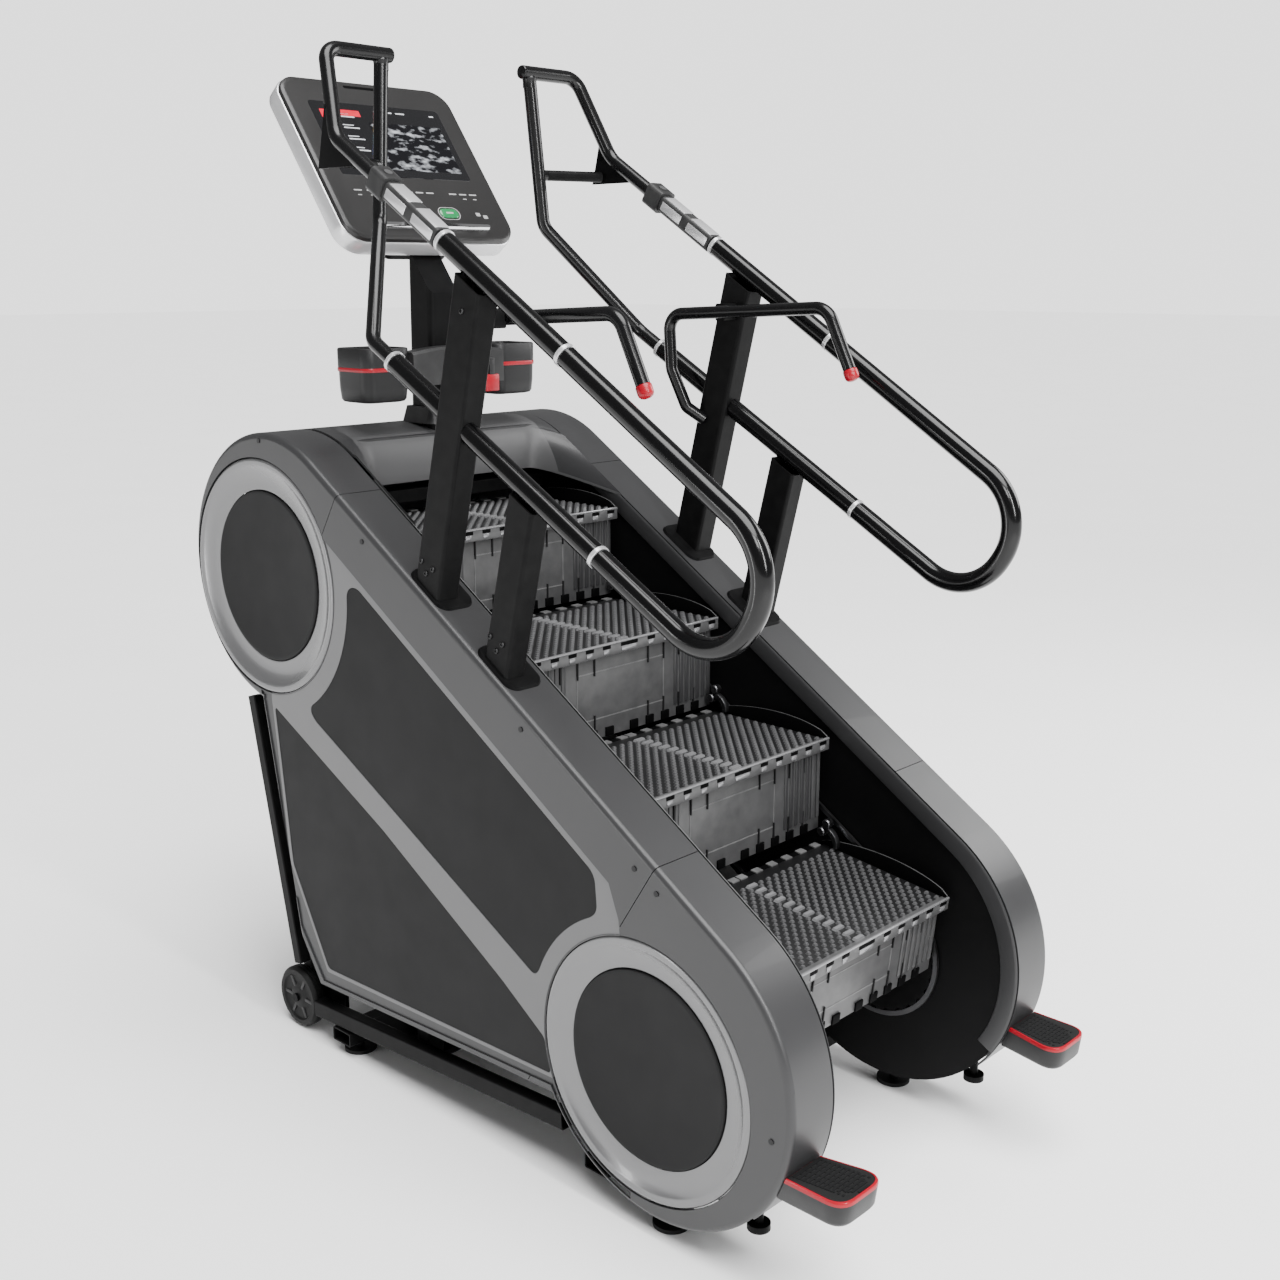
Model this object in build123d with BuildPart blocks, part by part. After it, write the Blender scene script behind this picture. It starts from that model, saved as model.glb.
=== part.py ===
from build123d import *
import math
import os

os.makedirs("parts", exist_ok=True)

# A revolving stair climber. X is across the machine, the user climbs towards +Y, Z is up.
# The origin is on the floor, at the middle of the footprint. Millimetres and degrees.

# ---- driving dimensions ----
OUTER_X = 395.0          # outer faces of the side covers
INNER_X = 285.0          # faces of the inner walls, beside the stairs
STAIR_X = 270.0          # half width of the steps
SKIN = 4.0               # cover wall
GAP = 1.5                # joint line between two covers
LOW_ARC, LOW_ARC_R = (-480.0, 335.0), 298.0      # front end of the side outline
HIGH_ARC, HIGH_ARC_R = (590.0, 1028.0), 284.0    # rear end of the side outline
LOW_RING, LOW_RING_R = (-456.0, 306.0), 240.0    # lower disc trim
HIGH_RING, HIGH_RING_R = (620.0, 1015.0), 246.0  # upper disc trim
DISC_R = 177.0           # dark disc inside each trim
RISE, RUN = 200.0, 294.0
NOSE_1 = (-342.0, 727.0)         # nose line of the first level step
NOSE_0, NOSE_0_TILT = (-634.0, 472.0), 6.5
TREAD_THICK = 26.0
RISER_THICK = 16.0
RISER_SETBACK = 22.0
LOW_AXLE = (-468.0, 315.0)       # sprocket axes
HIGH_AXLE = (620.0, 1017.0)
SPROCKET_R = 137.0               # chain line
STEP_PITCH = math.hypot(RISE, RUN)
RAIL_X = 358.0                   # plane of each side rail
TUBE_R, FOAM_R, RING_R = 14.0, 19.0, 21.0
POST_X, POST_WIDE, POST_DEEP, POST_TILT = 355.0, 50.0, 70.0, 13.7
FOOT_X, FOOT_FRONT_Y, FOOT_REAR_Y = 340.0, -478.0, 430.0
CROSS_FRONT_Y = -300.0
WHEEL_X, WHEEL_Y, WHEEL_R = 362.0, 606.0, 68.0
PAD_TOP, PAD_FRONT = 237.0, -874.0
BRAKE_AXLE = (330.0, 360.0)
BELT_X, BIG_PULLEY_R, SMALL_PULLEY_R = -332.0, 150.0, 35.0
MAST_Y, MAST_SIZE = 530.0, 75.0
WHEEL_Z, WHEEL_PIN_R = 71.0, 9.0
STRINGER_X, STRINGER_THICK = 296.0, 12.0
FOOT_STEM_R = 8.0
POSTS = (((108.0, 1032.0), POST_WIDE, POST_DEEP), ((-76.0, 918.0), 46.0, 64.0))
BORE_R, JOURNAL_R = 20.05, 20.0

CHAIN_ANGLE = math.atan2(HIGH_AXLE[1] - LOW_AXLE[1], HIGH_AXLE[0] - LOW_AXLE[0])

SLOPE = math.degrees(math.atan2(HIGH_ARC[1] - LOW_ARC[1], HIGH_ARC[0] - LOW_ARC[0])
                     - math.asin((LOW_ARC_R - HIGH_ARC_R)
                                 / math.dist(LOW_ARC, HIGH_ARC)))
ALONG = (math.cos(math.radians(SLOPE)), math.sin(math.radians(SLOPE)))
NORMAL = (-ALONG[1], ALONG[0])
TOP_LINE = LOW_ARC[0] * NORMAL[0] + LOW_ARC[1] * NORMAL[1] + LOW_ARC_R


def offset_point(centre, along, normal):
    """A point in the side plane, from a centre, along and across the covers' slope."""
    return (centre[0] + along * ALONG[0] + normal * NORMAL[0],
            centre[1] + along * ALONG[1] + normal * NORMAL[1])


def save(part, name):
    """Label one finished piece and write it."""
    part.label = name
    export_step(part, f"parts/{name}.step")


def save_group(parts, name):
    """Write several separate solids as one node."""
    solids = [solid for part in parts for solid in part.solids()]
    save(Compound(solids), name)


def save_pair(part, name):
    """Write a right-hand piece and its mirror image."""
    save(part, f"{name}_right")
    save(mirror(part, about=Plane.YZ), f"{name}_left")


def both(part):
    """A right-hand piece with its mirror image."""
    return [part, mirror(part, about=Plane.YZ)]


# ---- side outline and the fields on it ----

def side_outline(inset=0.0):
    """The closed side view of a cover, as a face in a plane of Y and Z."""
    low_r, high_r = LOW_ARC_R - inset, HIGH_ARC_R - inset
    with BuildSketch() as outline:
        with BuildLine():
            Polyline(offset_point(LOW_ARC, 0, low_r), offset_point(HIGH_ARC, 0, high_r),
                     HIGH_ARC, (652 - inset, 751), (560 - inset, 262),
                     (486 - inset, 150 + inset), (-300, 186 + inset), LOW_ARC, close=True)
        make_face()
        with Locations(LOW_ARC):
            Circle(low_r)
        with Locations(HIGH_ARC):
            Circle(high_r)
    return outline.sketch


def softened(face, radius):
    """A face with its outward corners rounded."""
    with BuildSketch() as soft:
        add(face)
        offset(amount=-radius, mode=Mode.REPLACE)
        offset(amount=radius, kind=Kind.ARC, mode=Mode.REPLACE)
    return soft.sketch


def upper_field(inset=0.0):
    """The upper dark panel: four sides, with a curve beside each disc trim."""
    top = TOP_LINE - 124 - inset
    with BuildSketch() as field:
        with BuildLine():
            Polyline((560, 770 + inset), (560, (top + 560 * ALONG[1]) / ALONG[0]),
                     (-560, (top - 560 * ALONG[1]) / ALONG[0]), (-560, 270 + inset), close=True)
        make_face()
        with Locations(HIGH_RING):
            Circle(HIGH_RING_R + 44 + inset, mode=Mode.SUBTRACT)
        with Locations(LOW_RING):
            Circle(LOW_RING_R + 36 + inset, mode=Mode.SUBTRACT)
        keep = max(field.sketch.faces(), key=lambda face: face.area)
    return softened(keep, 24)


def lower_field(inset=0.0):
    """The lower dark panel: a long triangle with one corner cut by a curve."""
    with BuildSketch() as field:
        with BuildLine():
            Polyline((632 - inset, 735 - inset), (572 - inset, 330), (452, 238 + inset),
                     (-230, 216 + inset), (-230, 258 - inset), close=True)
        make_face()
        with Locations(LOW_RING):
            Circle(LOW_RING_R + 4 + inset, mode=Mode.SUBTRACT)
        with Locations(HIGH_RING):
            Circle(HIGH_RING_R + 12 + inset, mode=Mode.SUBTRACT)
        keep = max(field.sketch.faces(), key=lambda face: face.area)
    return softened(keep, 10)


def panel_zone(inset=0.0):
    """Everything on a side below the cover's upper strip: accent trim and dark panels."""
    strip = TOP_LINE - 104 - inset
    with BuildSketch() as zone:
        add(side_outline(10 + inset))
        with BuildLine():
            Polyline((650 - inset, 0), (650 - inset, (strip + 650 * ALONG[1]) / ALONG[0]),
                     (-380, (strip - 380 * ALONG[1]) / ALONG[0]), (-403, 568), (-430, 300), (-430, 0),
                     close=True)
        make_face(mode=Mode.INTERSECT)
        with Locations(HIGH_RING):
            Circle(HIGH_RING_R + GAP + inset, mode=Mode.SUBTRACT)
        with Locations(LOW_RING):
            Circle(LOW_RING_R + GAP + inset, mode=Mode.SUBTRACT)
        keep = max(zone.sketch.faces(), key=lambda face: face.area)
    return keep


# ---- covers ----

def side_cover():
    """A whole right-hand cover shell, open inwards, with its side windows."""
    with BuildPart() as shell:
        with BuildSketch(Plane.YZ.offset(INNER_X + SKIN + 0.4)):
            add(side_outline())
        extrude(amount=OUTER_X - INNER_X - SKIN - 0.4)
        rim = [edge for edge in shell.edges().group_by(Axis.X)[-1]
               if edge.center().Z > 330 or edge.center().Y < -480]
        fillet(rim, 12)
        with BuildSketch(Plane.YZ.offset(INNER_X)):
            add(side_outline(SKIN))
        extrude(amount=OUTER_X - INNER_X - SKIN, mode=Mode.SUBTRACT)
        with Locations((OUTER_X - SKIN - 150.1, -70, 40)):
            Box(300, 1260, 320, mode=Mode.SUBTRACT)
        with BuildSketch(Plane.YZ.offset(OUTER_X - 3 * SKIN)):
            add(panel_zone())
            add(upper_field(-0.5))
            add(lower_field(-0.5))
            with Locations(LOW_RING):
                Circle(LOW_RING_R)
            with Locations(HIGH_RING):
                Circle(HIGH_RING_R)
        extrude(amount=6 * SKIN, mode=Mode.SUBTRACT)
        for foot, wide, deep in POSTS:
            with BuildSketch(post_plane(foot, 40)):
                RectangleRounded(wide + 1, deep + 1, 7)
            extrude(amount=200, mode=Mode.SUBTRACT)
    return shell.part


def post_plane(foot, drop=0.0):
    """The plane square to a leaning post, a distance below its foot."""
    lean = Vector(0, -math.sin(math.radians(POST_TILT)), math.cos(math.radians(POST_TILT)))
    return Plane(origin=Vector(POST_X, *foot) - lean * drop, x_dir=(1, 0, 0), z_dir=lean)


def slope_slab(start, end):
    """A tall slab across the slope, used to cut a cover into its sections."""
    middle = offset_point((0, 0), (start + end) / 2, 700)
    with BuildPart() as slab:
        with BuildSketch(Plane(origin=(0, middle[0], middle[1]), x_dir=(0, *ALONG), z_dir=(1, 0, 0))):
            Rectangle(end - start, 2200)
        extrude(amount=2 * OUTER_X, both=True)
    return slab.part


def build_covers():
    whole = side_cover()
    low_seam = -46.0
    high_seam = 942.0
    cuts = {"front": (-1400, low_seam - GAP / 2), "middle": (low_seam + GAP / 2, high_seam - GAP / 2),
            "rear": (high_seam + GAP / 2, 2200)}
    for section, (start, end) in cuts.items():
        with BuildPart() as cover:
            add(whole)
            add(slope_slab(start, end), mode=Mode.INTERSECT)
        save_pair(cover.part, f"cover_{section}")


def plate_on_side(face, inner, outer):
    """A flat plate between two X positions, cut to a face of the side view."""
    with BuildPart() as plate:
        with BuildSketch(Plane.YZ.offset(inner)):
            add(face)
        extrude(amount=outer - inner)
    return plate.part


def build_side_panels():
    back = OUTER_X - 2 * SKIN
    front = OUTER_X - 1
    save_group(both(plate_on_side(upper_field(), back, front - 1)), "side_panels_upper")
    save_group(both(plate_on_side(lower_field(), back, front - 1)), "side_panels_lower")
    with BuildSketch() as trim_face:
        add(panel_zone(0.5))
        add(upper_field(-GAP), mode=Mode.SUBTRACT)
        add(lower_field(-GAP), mode=Mode.SUBTRACT)
    solids = plate_on_side(trim_face.sketch, back, front)
    large = [solid for solid in solids.solids() if solid.volume > 4000]
    save_group([side for solid in large for side in both(solid)], "accent_trims")


def ring_trim(centre, radius):
    """A dished ring: high at its outer lip, falling to the dark disc."""
    profile = [(DISC_R + 2, -14), (DISC_R + 2, -9), (DISC_R + 22, -6), (radius - 10, 0),
               (radius - 3, 0), (radius - GAP, -2), (radius - GAP, -14)]
    with BuildPart() as ring:
        with BuildSketch(Plane.XZ):
            with BuildLine():
                Polyline(*profile, close=True)
            make_face()
        revolve(axis=Axis.Z)
    on_side = Plane(origin=(OUTER_X - 1, *centre), x_dir=(0, 1, 0), z_dir=(1, 0, 0))
    return on_side * ring.part


def disc_insert(centre):
    with BuildPart() as disc:
        with BuildSketch(Plane.YZ.offset(OUTER_X - 15)):
            with Locations(centre):
                Circle(DISC_R)
        extrude(amount=6)
        chamfer(disc.edges().group_by(Axis.X)[-1], 1.5)
    return disc.part


def build_discs():
    rings = [ring_trim(LOW_RING, LOW_RING_R), ring_trim(HIGH_RING, HIGH_RING_R)]
    discs = [disc_insert(LOW_RING), disc_insert(HIGH_RING)]
    save_group([side for ring in rings for side in both(ring)], "disc_rings")
    save_group([side for disc in discs for side in both(disc)], "disc_inserts")


def build_inner_walls():
    with BuildPart() as wall:
        with BuildSketch(Plane.YZ.offset(INNER_X)):
            add(side_outline(SKIN + 2))
            with Locations(LOW_AXLE, HIGH_AXLE, BRAKE_AXLE):
                Circle(34, mode=Mode.SUBTRACT)
        extrude(amount=SKIN)
    save_group(both(wall.part), "inner_walls")


def band_between(half_x, low, high):
    """The part of the cover band across the machine inside one Y and Z window."""
    with BuildPart() as band:
        with BuildSketch(Plane.YZ.offset(-half_x)):
            add(side_outline())
            add(side_outline(SKIN), mode=Mode.SUBTRACT)
            with Locations(((low[0] + high[0]) / 2, (low[1] + high[1]) / 2)):
                Rectangle(abs(high[0] - low[0]), abs(high[1] - low[1]), mode=Mode.INTERSECT)
        extrude(amount=2 * half_x)
    return band.part


def build_hood():
    hood_x = INNER_X - 1
    with BuildPart() as hood:
        add(band_between(hood_x, (486, 1040), (900, 1330)))
        with BuildSketch(Plane.XY.offset(1200)):
            with Locations((0, MAST_Y)):
                Rectangle(MAST_SIZE + 6, MAST_SIZE + 6)
        extrude(amount=200, mode=Mode.SUBTRACT)
    save(hood.part, "hood")
    with BuildPart() as lip:
        with BuildSketch(Plane.YZ.offset(-hood_x)):
            with BuildLine():
                Polyline((485.7, 1292), (470, 1276), (464, 1250), (466, 1205), (470, 1205),
                         (468, 1250), (473, 1272), (485.7, 1286), close=True)
            make_face()
        extrude(amount=2 * hood_x)
    save(lip.part, "hood_inner_panel")
    save(band_between(hood_x, (530, 200), (900, 1037)), "rear_panel")


# ---- frame ----

def beam(start, end, wide, deep):
    """A box-section bar from one point to another, its wide side across the machine."""
    axis = Vector(*end) - Vector(*start)
    across = Vector(0, 1, 0) if abs(axis.X) > abs(axis.Y) + abs(axis.Z) else Vector(1, 0, 0)
    with BuildPart() as bar:
        with BuildSketch(Plane(origin=start, x_dir=across, z_dir=axis)):
            RectangleRounded(wide, deep, 0.12 * min(wide, deep))
            if min(wide, deep) > 20:
                RectangleRounded(wide - 6, deep - 6, 1, mode=Mode.SUBTRACT)
        extrude(amount=axis.length)
    return bar.part


def slot_on_side(low, high, height):
    """A round-ended bar's outline between two centres in the side view."""
    middle = ((low[0] + high[0]) / 2, (low[1] + high[1]) / 2)
    angle = math.degrees(math.atan2(high[1] - low[1], high[0] - low[0]))
    with BuildSketch() as slot:
        with Locations(middle):
            SlotCenterToCenter(math.dist(low, high), height, rotation=angle)
    return slot.sketch


def build_frame():
    """The base: side rails, cross members, uprights, and stringers bored for both shafts."""
    with BuildPart() as stringer:
        with BuildSketch(Plane.YZ.offset(STRINGER_X)):
            add(slot_on_side(LOW_AXLE, HIGH_AXLE, 92))
            with Locations(LOW_AXLE, HIGH_AXLE):
                Circle(BORE_R, mode=Mode.SUBTRACT)
        extrude(amount=STRINGER_THICK)
    with BuildPart() as bracket:
        with BuildSketch(Plane.YZ.offset(330)):
            with BuildLine():
                Polyline((480, 58), (630, 50), (636, 96), (628, 250), (588, 250), (560, 150), (480, 104),
                         close=True)
            make_face()
        extrude(amount=8)
        with BuildSketch(Plane.YZ.offset(330)):
            with Locations((WHEEL_Y, WHEEL_Z)):
                Circle(WHEEL_PIN_R)
        extrude(amount=54)
    with BuildPart() as knob:
        with Locations((334, -668, 84)):
            Cylinder(20, 12)
        with Locations((334, -668, 90)):
            Cylinder(8, 41, align=(Align.CENTER, Align.CENTER, Align.MIN))
    members = [
        beam((371, 530, 73), (371, -246, 121), 28, 36),
        beam((334, -246, 121), (334, -690, 150), 28, 32),
        beam((371, 588, 160), (371, 710, 741), 26, 26),
        beam((352, 620, 238), (352, 600, 170), 12, 26),
        stringer.part,
        bracket.part,
        knob.part,
        beam((329, -400, 146), (329, -400, 400), 40, 40),
        beam((329, 200, 78), (329, 200, 700), 40, 40),
        beam((334, FOOT_FRONT_Y, 54.4), (334, FOOT_FRONT_Y, 119), 26, 40),
        beam((334, CROSS_FRONT_Y, 54.4), (334, CROSS_FRONT_Y, 107.5), 26, 40),
    ]
    crosses = [beam((-350, CROSS_FRONT_Y, 39), (350, CROSS_FRONT_Y, 39), 60, 30),
               beam((-364, FOOT_FRONT_Y, 39), (-316, FOOT_FRONT_Y, 39), 60, 30),
               beam((316, FOOT_FRONT_Y, 39), (364, FOOT_FRONT_Y, 39), 60, 30),
               beam((-388, FOOT_REAR_Y, 43), (388, FOOT_REAR_Y, 43), 60, 30),
               beam((-350, BRAKE_AXLE[0], 71), (350, BRAKE_AXLE[0], 71), 120, 16),
               beam((-350, 200, 70), (350, 200, 70), 50, 14),
               beam((-284, MAST_Y, 1165), (284, MAST_Y, 1165), 60, 30)]
    feet_seats = [(side * FOOT_X, y) for side in (-1, 1) for y in (FOOT_FRONT_Y, FOOT_REAR_Y)]
    drilled = []
    for cross in crosses:
        with BuildPart() as bar:
            add(cross)
            with BuildSketch(Plane.XY):
                with Locations(*feet_seats):
                    Circle(FOOT_STEM_R + 0.3)
            extrude(amount=90, mode=Mode.SUBTRACT)
        drilled.append(bar.part)
    save_group([side for member in members for side in both(member)] + drilled, "base_frame")


def build_feet():
    """Four levelling feet, each a rubber-shod disc on a threaded stem."""
    for side, side_name in ((-1, "left"), (1, "right")):
        for y, end_name in ((FOOT_FRONT_Y, "front"), (FOOT_REAR_Y, "rear")):
            with BuildPart() as foot:
                with Locations((side * FOOT_X, y, 0)):
                    Cylinder(34, 8, align=(Align.CENTER, Align.CENTER, Align.MIN))
                    Cone(34, 14, 8, align=(Align.CENTER, Align.CENTER, Align.MIN), rotation=(0, 0, 0))
                    Cylinder(FOOT_STEM_R, 52, align=(Align.CENTER, Align.CENTER, Align.MIN))
            save(foot.part, f"foot_{end_name}_{side_name}")


def build_wheels():
    """Rear transport wheels, turning on pins fixed to the frame's brackets."""
    on_axle = Plane(origin=(WHEEL_X, WHEEL_Y, WHEEL_Z), x_dir=(0, 1, 0), z_dir=(1, 0, 0))
    with BuildPart() as wheel:
        with BuildSketch(on_axle.offset(-16)):
            Circle(WHEEL_R)
            Circle(WHEEL_PIN_R + 0.05, mode=Mode.SUBTRACT)
        extrude(amount=32)
        fillet(wheel.edges().filter_by(GeomType.CIRCLE).group_by(SortBy.RADIUS)[-1], 6)
    save_pair(wheel.part, "transport_wheel")


# ---- stairs and drive ----

def step_solid(nose, tilt, riser_height):
    """One step: a tread with its nose at a point, and the riser below it."""
    angle = math.radians(tilt)
    nose_y, nose_z = nose
    depth = RUN + RISER_SETBACK - 3
    on_nose = Plane(origin=(-STAIR_X, nose_y, nose_z), x_dir=(0, math.cos(angle), math.sin(angle)),
                    z_dir=(1, 0, 0))
    with BuildPart() as step:
        with BuildSketch(on_nose):
            with BuildLine():
                Polyline((3, 0), (depth, 0), (depth, -TREAD_THICK), (RISER_SETBACK + RISER_THICK, -TREAD_THICK),
                         (RISER_SETBACK + RISER_THICK, -riser_height), (RISER_SETBACK, -riser_height),
                         (RISER_SETBACK, -TREAD_THICK), (2, -TREAD_THICK), (0, -TREAD_THICK + 4), (0, -3),
                         close=True)
            make_face()
        extrude(amount=2 * STAIR_X)
    return step.part


def build_steps():
    save(step_solid(NOSE_0, NOSE_0_TILT, 165), "step_0")
    for index in range(1, 4):
        nose = (NOSE_1[0] + (index - 1) * RUN, NOSE_1[1] + (index - 1) * RISE)
        save(step_solid(nose, 0, RISE - 4), f"step_{index}")


def build_return_steps():
    """Steps folded flat on the underside of the chain, on their way back up."""
    direction = (math.cos(CHAIN_ANGLE), math.sin(CHAIN_ANGLE))
    plates = []
    for index in range(3):
        along = 270 + index * STEP_PITCH
        below = SPROCKET_R + 24
        centre = (0, LOW_AXLE[0] + along * direction[0] + below * direction[1],
                  LOW_AXLE[1] + along * direction[1] - below * direction[0])
        with BuildPart() as plate:
            with BuildSketch(Plane(origin=centre, x_dir=(1, 0, 0), z_dir=(0, *direction))):
                Rectangle(2 * STAIR_X, TREAD_THICK)
            extrude(amount=150, both=True)
        plates.append(plate.part)
    save_group(plates, "return_steps")


def sprocket_profile(radius, teeth):
    """A sprocket outline: a disc with a ring of rounded gullets."""
    with BuildSketch() as wheel:
        Circle(radius)
        with PolarLocations(radius + 3, teeth):
            Circle(0.26 * 2 * math.pi * radius / teeth, mode=Mode.SUBTRACT)
    return wheel.sketch


def shaft_with_sprockets(axle):
    """A shaft through both stringers with a sprocket inside each wall."""
    with BuildPart() as shaft:
        with BuildSketch(Plane(origin=(-STRINGER_X - 30, *axle), x_dir=(0, 1, 0), z_dir=(1, 0, 0))):
            Circle(JOURNAL_R)
        extrude(amount=2 * STRINGER_X + 60)
        for side in (-1, 1):
            with BuildSketch(Plane(origin=(side * 277 - 3, *axle), x_dir=(0, 1, 0), z_dir=(1, 0, 0))):
                add(sprocket_profile(SPROCKET_R - 5, 28))
            extrude(amount=6)
    return shaft.part


def pulley(axle, radius, bore):
    """A grooved belt pulley outside the left stringer."""
    with BuildPart() as wheel:
        with BuildSketch(Plane(origin=(BELT_X - 12, *axle), x_dir=(0, 1, 0), z_dir=(1, 0, 0))):
            Circle(radius)
            if bore:
                Circle(bore, mode=Mode.SUBTRACT)
        extrude(amount=24)
    return wheel.part


def build_drive():
    """Shafts, chains, the belt and the brake unit that holds the stairs' speed."""
    save(shaft_with_sprockets(LOW_AXLE), "lower_shaft")
    with BuildPart() as upper:
        add(shaft_with_sprockets(HIGH_AXLE))
        with BuildSketch(Plane(origin=(BELT_X - 12, *HIGH_AXLE), x_dir=(0, 1, 0), z_dir=(1, 0, 0))):
            Circle(BIG_PULLEY_R)
        extrude(amount=24)
        with BuildSketch(Plane(origin=(BELT_X - 12, *HIGH_AXLE), x_dir=(0, 1, 0), z_dir=(1, 0, 0))):
            Circle(JOURNAL_R)
        extrude(amount=60)
    save(upper.part, "upper_shaft")
    with BuildPart() as chain:
        with BuildSketch(Plane.YZ.offset(274)):
            add(slot_on_side(LOW_AXLE, HIGH_AXLE, 2 * SPROCKET_R + 10))
            add(slot_on_side(LOW_AXLE, HIGH_AXLE, 2 * SPROCKET_R - 9), mode=Mode.SUBTRACT)
        extrude(amount=6)
    save_group(both(chain.part), "drive_chains")
    with BuildPart() as brake:
        with BuildSketch(Plane(origin=(-262, *BRAKE_AXLE), x_dir=(0, 1, 0), z_dir=(1, 0, 0))):
            Circle(96)
            Circle(10.05, mode=Mode.SUBTRACT)
        extrude(amount=84)
        with Locations((-220, BRAKE_AXLE[0], 177)):
            Box(70, 110, 195)
    save(brake.part, "brake_unit")
    with BuildPart() as rotor:
        with BuildSketch(Plane(origin=(BELT_X - 12, *BRAKE_AXLE), x_dir=(0, 1, 0), z_dir=(1, 0, 0))):
            Circle(10)
        extrude(amount=176)
        with BuildSketch(Plane(origin=(BELT_X - 12, *BRAKE_AXLE), x_dir=(0, 1, 0), z_dir=(1, 0, 0))):
            Circle(SMALL_PULLEY_R)
        extrude(amount=24)
    save(rotor.part, "brake_rotor")
    with BuildPart() as belt:
        with BuildSketch(Plane.YZ.offset(BELT_X - 9)):
            add(belt_outline(4.0))
            add(belt_outline(0.6), mode=Mode.SUBTRACT)
        extrude(amount=18)
    save(belt.part, "drive_belt")


def belt_outline(clearance):
    """The loop around both pulleys, standing off them by a clearance."""
    big, small = BIG_PULLEY_R + clearance, SMALL_PULLEY_R + clearance
    distance = math.dist(BRAKE_AXLE, HIGH_AXLE)
    heading = math.atan2(HIGH_AXLE[1] - BRAKE_AXLE[1], HIGH_AXLE[0] - BRAKE_AXLE[0])
    spread = math.acos((small - big) / distance)
    corners = []
    for centre, radius, turns in ((BRAKE_AXLE, small, (1, -1)), (HIGH_AXLE, big, (-1, 1))):
        for turn in turns:
            angle = heading + turn * spread
            corners.append((centre[0] + radius * math.cos(angle), centre[1] + radius * math.sin(angle)))
    with BuildSketch() as loop:
        with BuildLine():
            Polyline(*corners, close=True)
        make_face()
        with Locations(BRAKE_AXLE):
            Circle(small)
        with Locations(HIGH_AXLE):
            Circle(big)
    return loop.sketch


# ---- rails ----

def upper_rail_z(y):
    return 1677 + 0.618 * (y - 47)


def lower_rail_z(y):
    return 1171 + 0.565 * (y + 323)


UPPER_RING_YS = (47.0, -250.0)
LOWER_RING_YS = (199.0, -323.0)
LOOP_CORNERS = ((-709.0, upper_rail_z(-709.0)), (-593.0, lower_rail_z(-593.0)))
LOOP_R = 0.495 * math.dist(*LOOP_CORNERS)


def tube(points, radii, radius, bore=0.0, capped=False):
    """A round tube, hollow if it has a bore, along straight runs joined by arcs."""
    with BuildPart() as piece:
        with BuildLine() as path:
            if radii:
                FilletPolyline(*points, radius=radii)
            else:
                Line(*points)
        start = path.wire() @ 0
        with BuildSketch(Plane(origin=start, z_dir=path.wire() % 0)):
            Circle(radius)
            if bore:
                Circle(bore, mode=Mode.SUBTRACT)
        sweep(path=path.wire())
        for share, inward in ((0, 1), (1, -1)):
            if capped:
                with BuildSketch(Plane(origin=path.wire() @ share, z_dir=inward * (path.wire() % share))):
                    Circle(radius - 0.5)
                extrude(amount=4)
    return piece.part


def on_upper(y):
    return (RAIL_X, y, upper_rail_z(y))


def on_lower(y):
    return (RAIL_X, y, lower_rail_z(y))


def build_rails():
    """Each side rail is one bent tube: horn, upper run, loop, lower run and inner return."""
    corners = [(172, 424, 2030), (322, 421, 2030), (RAIL_X, 349, upper_rail_z(349)),
               (RAIL_X, *LOOP_CORNERS[0]), (RAIL_X, *LOOP_CORNERS[1]), on_lower(262),
               (217, 414, 1720), (192, 424, 2015)]
    save_pair(tube(corners, [35, 60, LOOP_R, LOOP_R, 45, 45], TUBE_R, TUBE_R - 2.5, capped=True), "rail")
    bore = TUBE_R + 0.1
    half = 4.2
    loop = [on_upper(UPPER_RING_YS[1] - half), (RAIL_X, *LOOP_CORNERS[0]),
            (RAIL_X, *LOOP_CORNERS[1]), on_lower(LOWER_RING_YS[1] - half)]
    sleeves = [tube([on_upper(UPPER_RING_YS[0] - half), on_upper(UPPER_RING_YS[1] + half)], None, FOAM_R, bore),
               tube(loop, [LOOP_R, LOOP_R], FOAM_R, bore),
               tube([on_lower(LOWER_RING_YS[1] + half), on_lower(LOWER_RING_YS[0] - half)], None, FOAM_R, bore)]
    save_group([side for sleeve in sleeves for side in both(sleeve)], "rail_foam")
    rings = [tube([point(y + 3.4), point(y - 3.4)], None, RING_R, bore)
             for point, ys in ((on_upper, UPPER_RING_YS), (on_lower, LOWER_RING_YS)) for y in ys]
    save_group([side for ring in rings for side in both(ring)], "rail_rings")


def build_grip_sensors():
    """Flat-sided contact grips on the upper runs, and the pod at the end of each."""
    start, end = Vector(*on_upper(190)), Vector(*on_upper(54))
    with BuildPart() as grip:
        with BuildSketch(Plane(origin=start, x_dir=(1, 0, 0), z_dir=end - start)):
            RectangleRounded(37, 35, 9)
            Circle(TUBE_R + 0.1, mode=Mode.SUBTRACT)
        extrude(amount=(end - start).length)
    save_group(both(grip.part), "grip_sensors")
    pod_start, pod_end = Vector(*on_upper(228)), Vector(*on_upper(191))
    on_pod = Plane(origin=pod_start, x_dir=(1, 0, 0), z_dir=pod_end - pod_start)
    length = (pod_end - pod_start).length
    with BuildPart() as pod:
        with BuildSketch(on_pod):
            RectangleRounded(44, 46, 9)
            Circle(TUBE_R + 0.1, mode=Mode.SUBTRACT)
        extrude(amount=length)
        with BuildSketch(pod_button_plane()):
            Circle(BUTTON_R + 0.4)
        extrude(amount=-4, mode=Mode.SUBTRACT)
    save_group(both(pod.part), "rail_pods")
    with BuildPart() as button:
        with BuildSketch(pod_button_plane().offset(-1.6)):
            Circle(BUTTON_R)
        extrude(amount=3.2)
    save_pair(button.part, "pod_button")


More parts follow.
